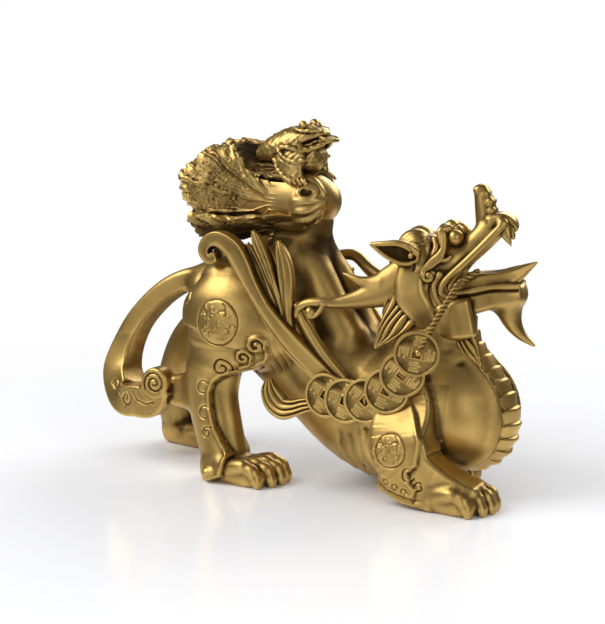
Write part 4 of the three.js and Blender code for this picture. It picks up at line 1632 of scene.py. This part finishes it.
for name, sizes in {
    "near_leaf": dict(
        grid=(110, 170), stalk=(146, 224), blade=(104, 226), root=5.4, tip=-54, base=12.6,
        flare=(9, 5.5), cut=(0.27, 0.08), lift=3, opens=(0.2, 0.9), age=0, seed=0.4,
    ),
    "bottom_leaf": dict(
        grid=(84, 120), stalk=(210, 296), blade=(202, 318), root=9, tip=-51, base=13,
        flare=(8.4, 6), cut=(0.02, 0.1), lift=0, opens=(0.1, 0.8), age=0.05, seed=1.9,
    ),
    "far_leaf": dict(
        grid=(80, 116), stalk=(-26, 62), blade=(-52, 84), root=9, tip=-48, base=12.5,
        flare=(9, 7.6), cut=(0.1, 0.1), lift=3.4, opens=(0.04, 0.56), age=0, seed=3.1,
    ),
    "top_leaf": dict(
        grid=(64, 96), stalk=(64, 132), blade=(64, 136), root=9, tip=-40, base=11.6,
        flare=(1.5, 1.5), cut=(0.1, 0.1), lift=0, opens=(0.15, 0.85), age=0.35, seed=4.6,
    ),
}.items():
    dress(leaf(name, **sizes), dark_brass, "cabbage")

# The root end is a ball of folded stalks, with one cut stalk that shows its hollow.
ROOT_MIDDLE, ROOT_RADIUS = (4, -0.5, 128), 12.9


def on_root(x, z, sunk=1.3):
    """A point that lies a little under the surface of the root end, on its right side."""
    far = ROOT_RADIUS**2 - (x - ROOT_MIDDLE[0]) ** 2 - (z - ROOT_MIDDLE[2]) ** 2
    return (x, ROOT_MIDDLE[1] - math.sqrt(max(far, 4)) + sunk, z)


heart = limb([[-40, 1, 129, 8, 8], [-26, 1, 128, 10, 10], [-8, 1, 127, 11, 11], [4, 1, 128, 11.4, 11.4]])
heart = joined(heart, limb([[-34, 1, 121, 9, 6], [-10, 1, 119.4, 10, 6.5], [5, 0, 119, 9, 7]]), 2)
heart = joined(joined(heart, ball(*ROOT_MIDDLE, ROOT_RADIUS), 1), ball(8, 1, 128, 10.5), 1)
for places, thick in (
    (((-1, 137), (3, 138.6), (7, 138.4), (11, 136.4), (14.4, 132)), 2.1),
    (((0, 128.4), (4, 129), (8, 129.4), (12, 129.4), (15, 129)), 1.9),
    (((0, 124), (4, 124.4), (8, 125), (12, 126.4), (15, 128)), 2.3),
    (((0, 119.6), (4, 120), (8, 121), (12, 123.6), (14.6, 126.6)), 2.5),
    (((0, 116), (4, 116.4), (8, 117.6), (11, 119.6), (13.6, 123.6)), 2),
):
    sizes = thick * np.array([0.3, 0.9, 1, 0.8, 0.5])
    petal = limb([[*on_root(x, z), size, size] for (x, z), size in zip(places, sizes)])
    heart = joined(heart, petal, 0.7)
stalk_hole = limb([[*on_root(7, 133.4, 0), 1.7, 1.7], [*on_root(9.6, 133, 0), 1.6, 1.6]])
heart = without(heart, stalk_hole, 1.6)
angles = np.linspace(0, 2 * math.pi, 13)
ring_points = [on_root(8.3 + 3.8 * math.cos(t), 133.2 + 2.9 * math.sin(t), 0.8) for t in angles]
heart = joined(heart, roll(ring_points, 1), 0.8)
cabbage_heart = sculpted("cabbage_heart", heart, (-54, -20, 110), (24, 18, 146), 0.45, 40_000)
dress(cabbage_heart, dark_brass, "cabbage")


# The money toad.
# It sits up on the cabbage with a coin in its mouth. It is one casting with rough, warty skin, and is
# fixed on the leaves.

toad = limb(
    [
        [-20, 0, 148.6, 6, 3.6],
        [-13, 0, 151, 9, 6.4],
        [-4, 0, 153.4, 10, 8],
        [4, 0, 156.4, 8.6, 6.4],
        [10.4, 0, 157.8, 5.8, 4],
    ],
)
toad = joined(toad, limb([[-5, 0, 147.5, 9, 6.6], [5, 0, 148.5, 8.4, 7.6]]), 2)
toad_eye = joined(ball(3.6, -5, 162.6, 2.3), ball(6.6, -4, 161.8, 1.6), 0.8)
toad = joined(toad, both_sides(toad_eye), 0.7)
toad_brow = roll([(-1, -5.6, 161), (2.6, -7.4, 160.4), (7, -7, 160.6), (11, -4.4, 160.6)], 1.1, 0.8)
toad = joined(toad, both_sides(toad_brow), 0.6)
toad_mouth = limb([[2, -9.6, 153.2, 3, 0.7], [8, -8, 156, 3.4, 0.8], [15, -4, 158.4, 4.4, 0.8]])
toad = without(toad, both_sides(toad_mouth), 0.4)
toad_thigh = limb(
    [
        [-1.6, -8, 152, 3.6, 7.4],
        [-0.6, -10.4, 147.5, 3, 7.8],
        [0.8, -11.4, 142.6, 2.6, 6.4],
        [3, -12, 139, 2.2, 4.4],
    ]
)
for points, start, end in (
    ([(-9, -10, 150.6), (-5.5, -12, 152.6), (-1.5, -12.4, 153.4), (2.6, -11.6, 152.4)], 1.2, 1),
    (
        [
            (-5.4, -12.6, 151.4),
            (-3, -13.2, 149.4),
            (-0.6, -13.4, 147.8),
            (2.5, -13.2, 147),
            (7.4, -11.6, 147.6),
        ],
        0.9,
        0.8,
    ),
    ([(-8.4, -11, 147), (-6.2, -12.2, 143), (-3, -13, 140.4), (0.4, -13.2, 137.6)], 1, 0.8),
    ([(3.4, -9.4, 152), (7.4, -8.6, 152), (10.6, -6.2, 153.4), (13, -3.6, 155)], 1.4, 1),
):
    toad_thigh = joined(toad_thigh, roll(points, start, end), 1)
for toe in range(4):
    root, knuckle, tip = 1.4 + 1.5 * toe, 0.6 + 2.4 * toe, 1.4 + 2.7 * toe
    toe_form = roll([(root, -11.4, 139.6), (knuckle, -13.2, 138.6), (tip, -13.6, 137)], 1, 0.8)
    toad_thigh = joined(toad_thigh, toe_form, 0.4)
toad = joined(toad, both_sides(toad_thigh), 1)


def rough_skin(form):
    """Lumps all over the skin, in a fixed pattern."""

    def distance(p):
        x, y, z = p.T
        y = np.abs(y)
        lumps = np.sin(x * 1.3 + 1.1 * np.sin(z * 0.9)) * np.sin(y * 1.5 + z * 0.6)
        lumps *= np.sin(z * 1.4 - x * 0.5 + 1.7)
        small = np.sin(x * 2.9 + y) * np.sin(z * 3.1 + x) * np.sin(y * 3.3 - z)
        return form(p) - 0.22 * lumps - 0.06 * small

    return distance


toad_body = sculpted("toad_body", rough_skin(toad), (-28, -20, 135), (20, 20, 167), 0.32, 70_000)
dress(toad_body, dark_brass, "money_toad")

tree, add, given, out = node_tree("warts", [("Wart Radius", "Float", 0.55 * MM), ("Seed", "Int", 7)])
height = add("ShaderNodeSeparateXYZ", _0=add("GeometryNodeInputPosition").outputs[0]).outputs["Z"]
spots = add(
    "GeometryNodeDistributePointsOnFaces",
    {"distribute_method": "POISSON"},
    Mesh=given["Geometry"],
    Seed=given["Seed"],
    Selection=maths(add, "GREATER_THAN", height, 154 * MM),
    Distance_Min=3 * MM,
    Density_Max=200_000.0,
).outputs["Points"]
wart = add("GeometryNodeMeshIcoSphere", Subdivisions=2, Radius=given["Wart Radius"]).outputs["Mesh"]
sizes = add("FunctionNodeRandomValue", {"data_type": "FLOAT"}, Seed=given["Seed"])
sizes.inputs[2].default_value, sizes.inputs[3].default_value = 0.5, 1.2
warts = add("GeometryNodeInstanceOnPoints", Points=spots, Instance=wart, Scale=sizes.outputs[1]).outputs[0]
finish_tree(tree, add, warts, out, dark_brass)
dress(grown("warts", tree, toad_body.data.copy()), dark_brass, "money_toad")

# The coin lies flat between its lips, and dips a little to the front.
TOAD_COIN = (13.4, 0, 157)
TOAD_COIN_DIP = math.radians(10)
TOAD_COIN_RADIUS = 5.2


def toad_coin(p):
    x, y, z = (p - np.array(TOAD_COIN, np.float32)).T
    c, s = math.cos(TOAD_COIN_DIP), math.sin(TOAD_COIN_DIP)
    along, through_it = x * c - z * s, x * s + z * c
    out = np.hypot(along, y)
    face = 0.6 + 0.3 * np.exp(-(((out - TOAD_COIN_RADIUS + 0.6) / 0.6) ** 4))
    return np.maximum(np.abs(through_it) - face, out - TOAD_COIN_RADIUS)


coin_in_mouth = sculpted("coin_in_mouth", toad_coin, (6, -7, 152), (20, 7, 162), 0.25, 5000)
dress(coin_in_mouth, dark_brass, "money_toad")
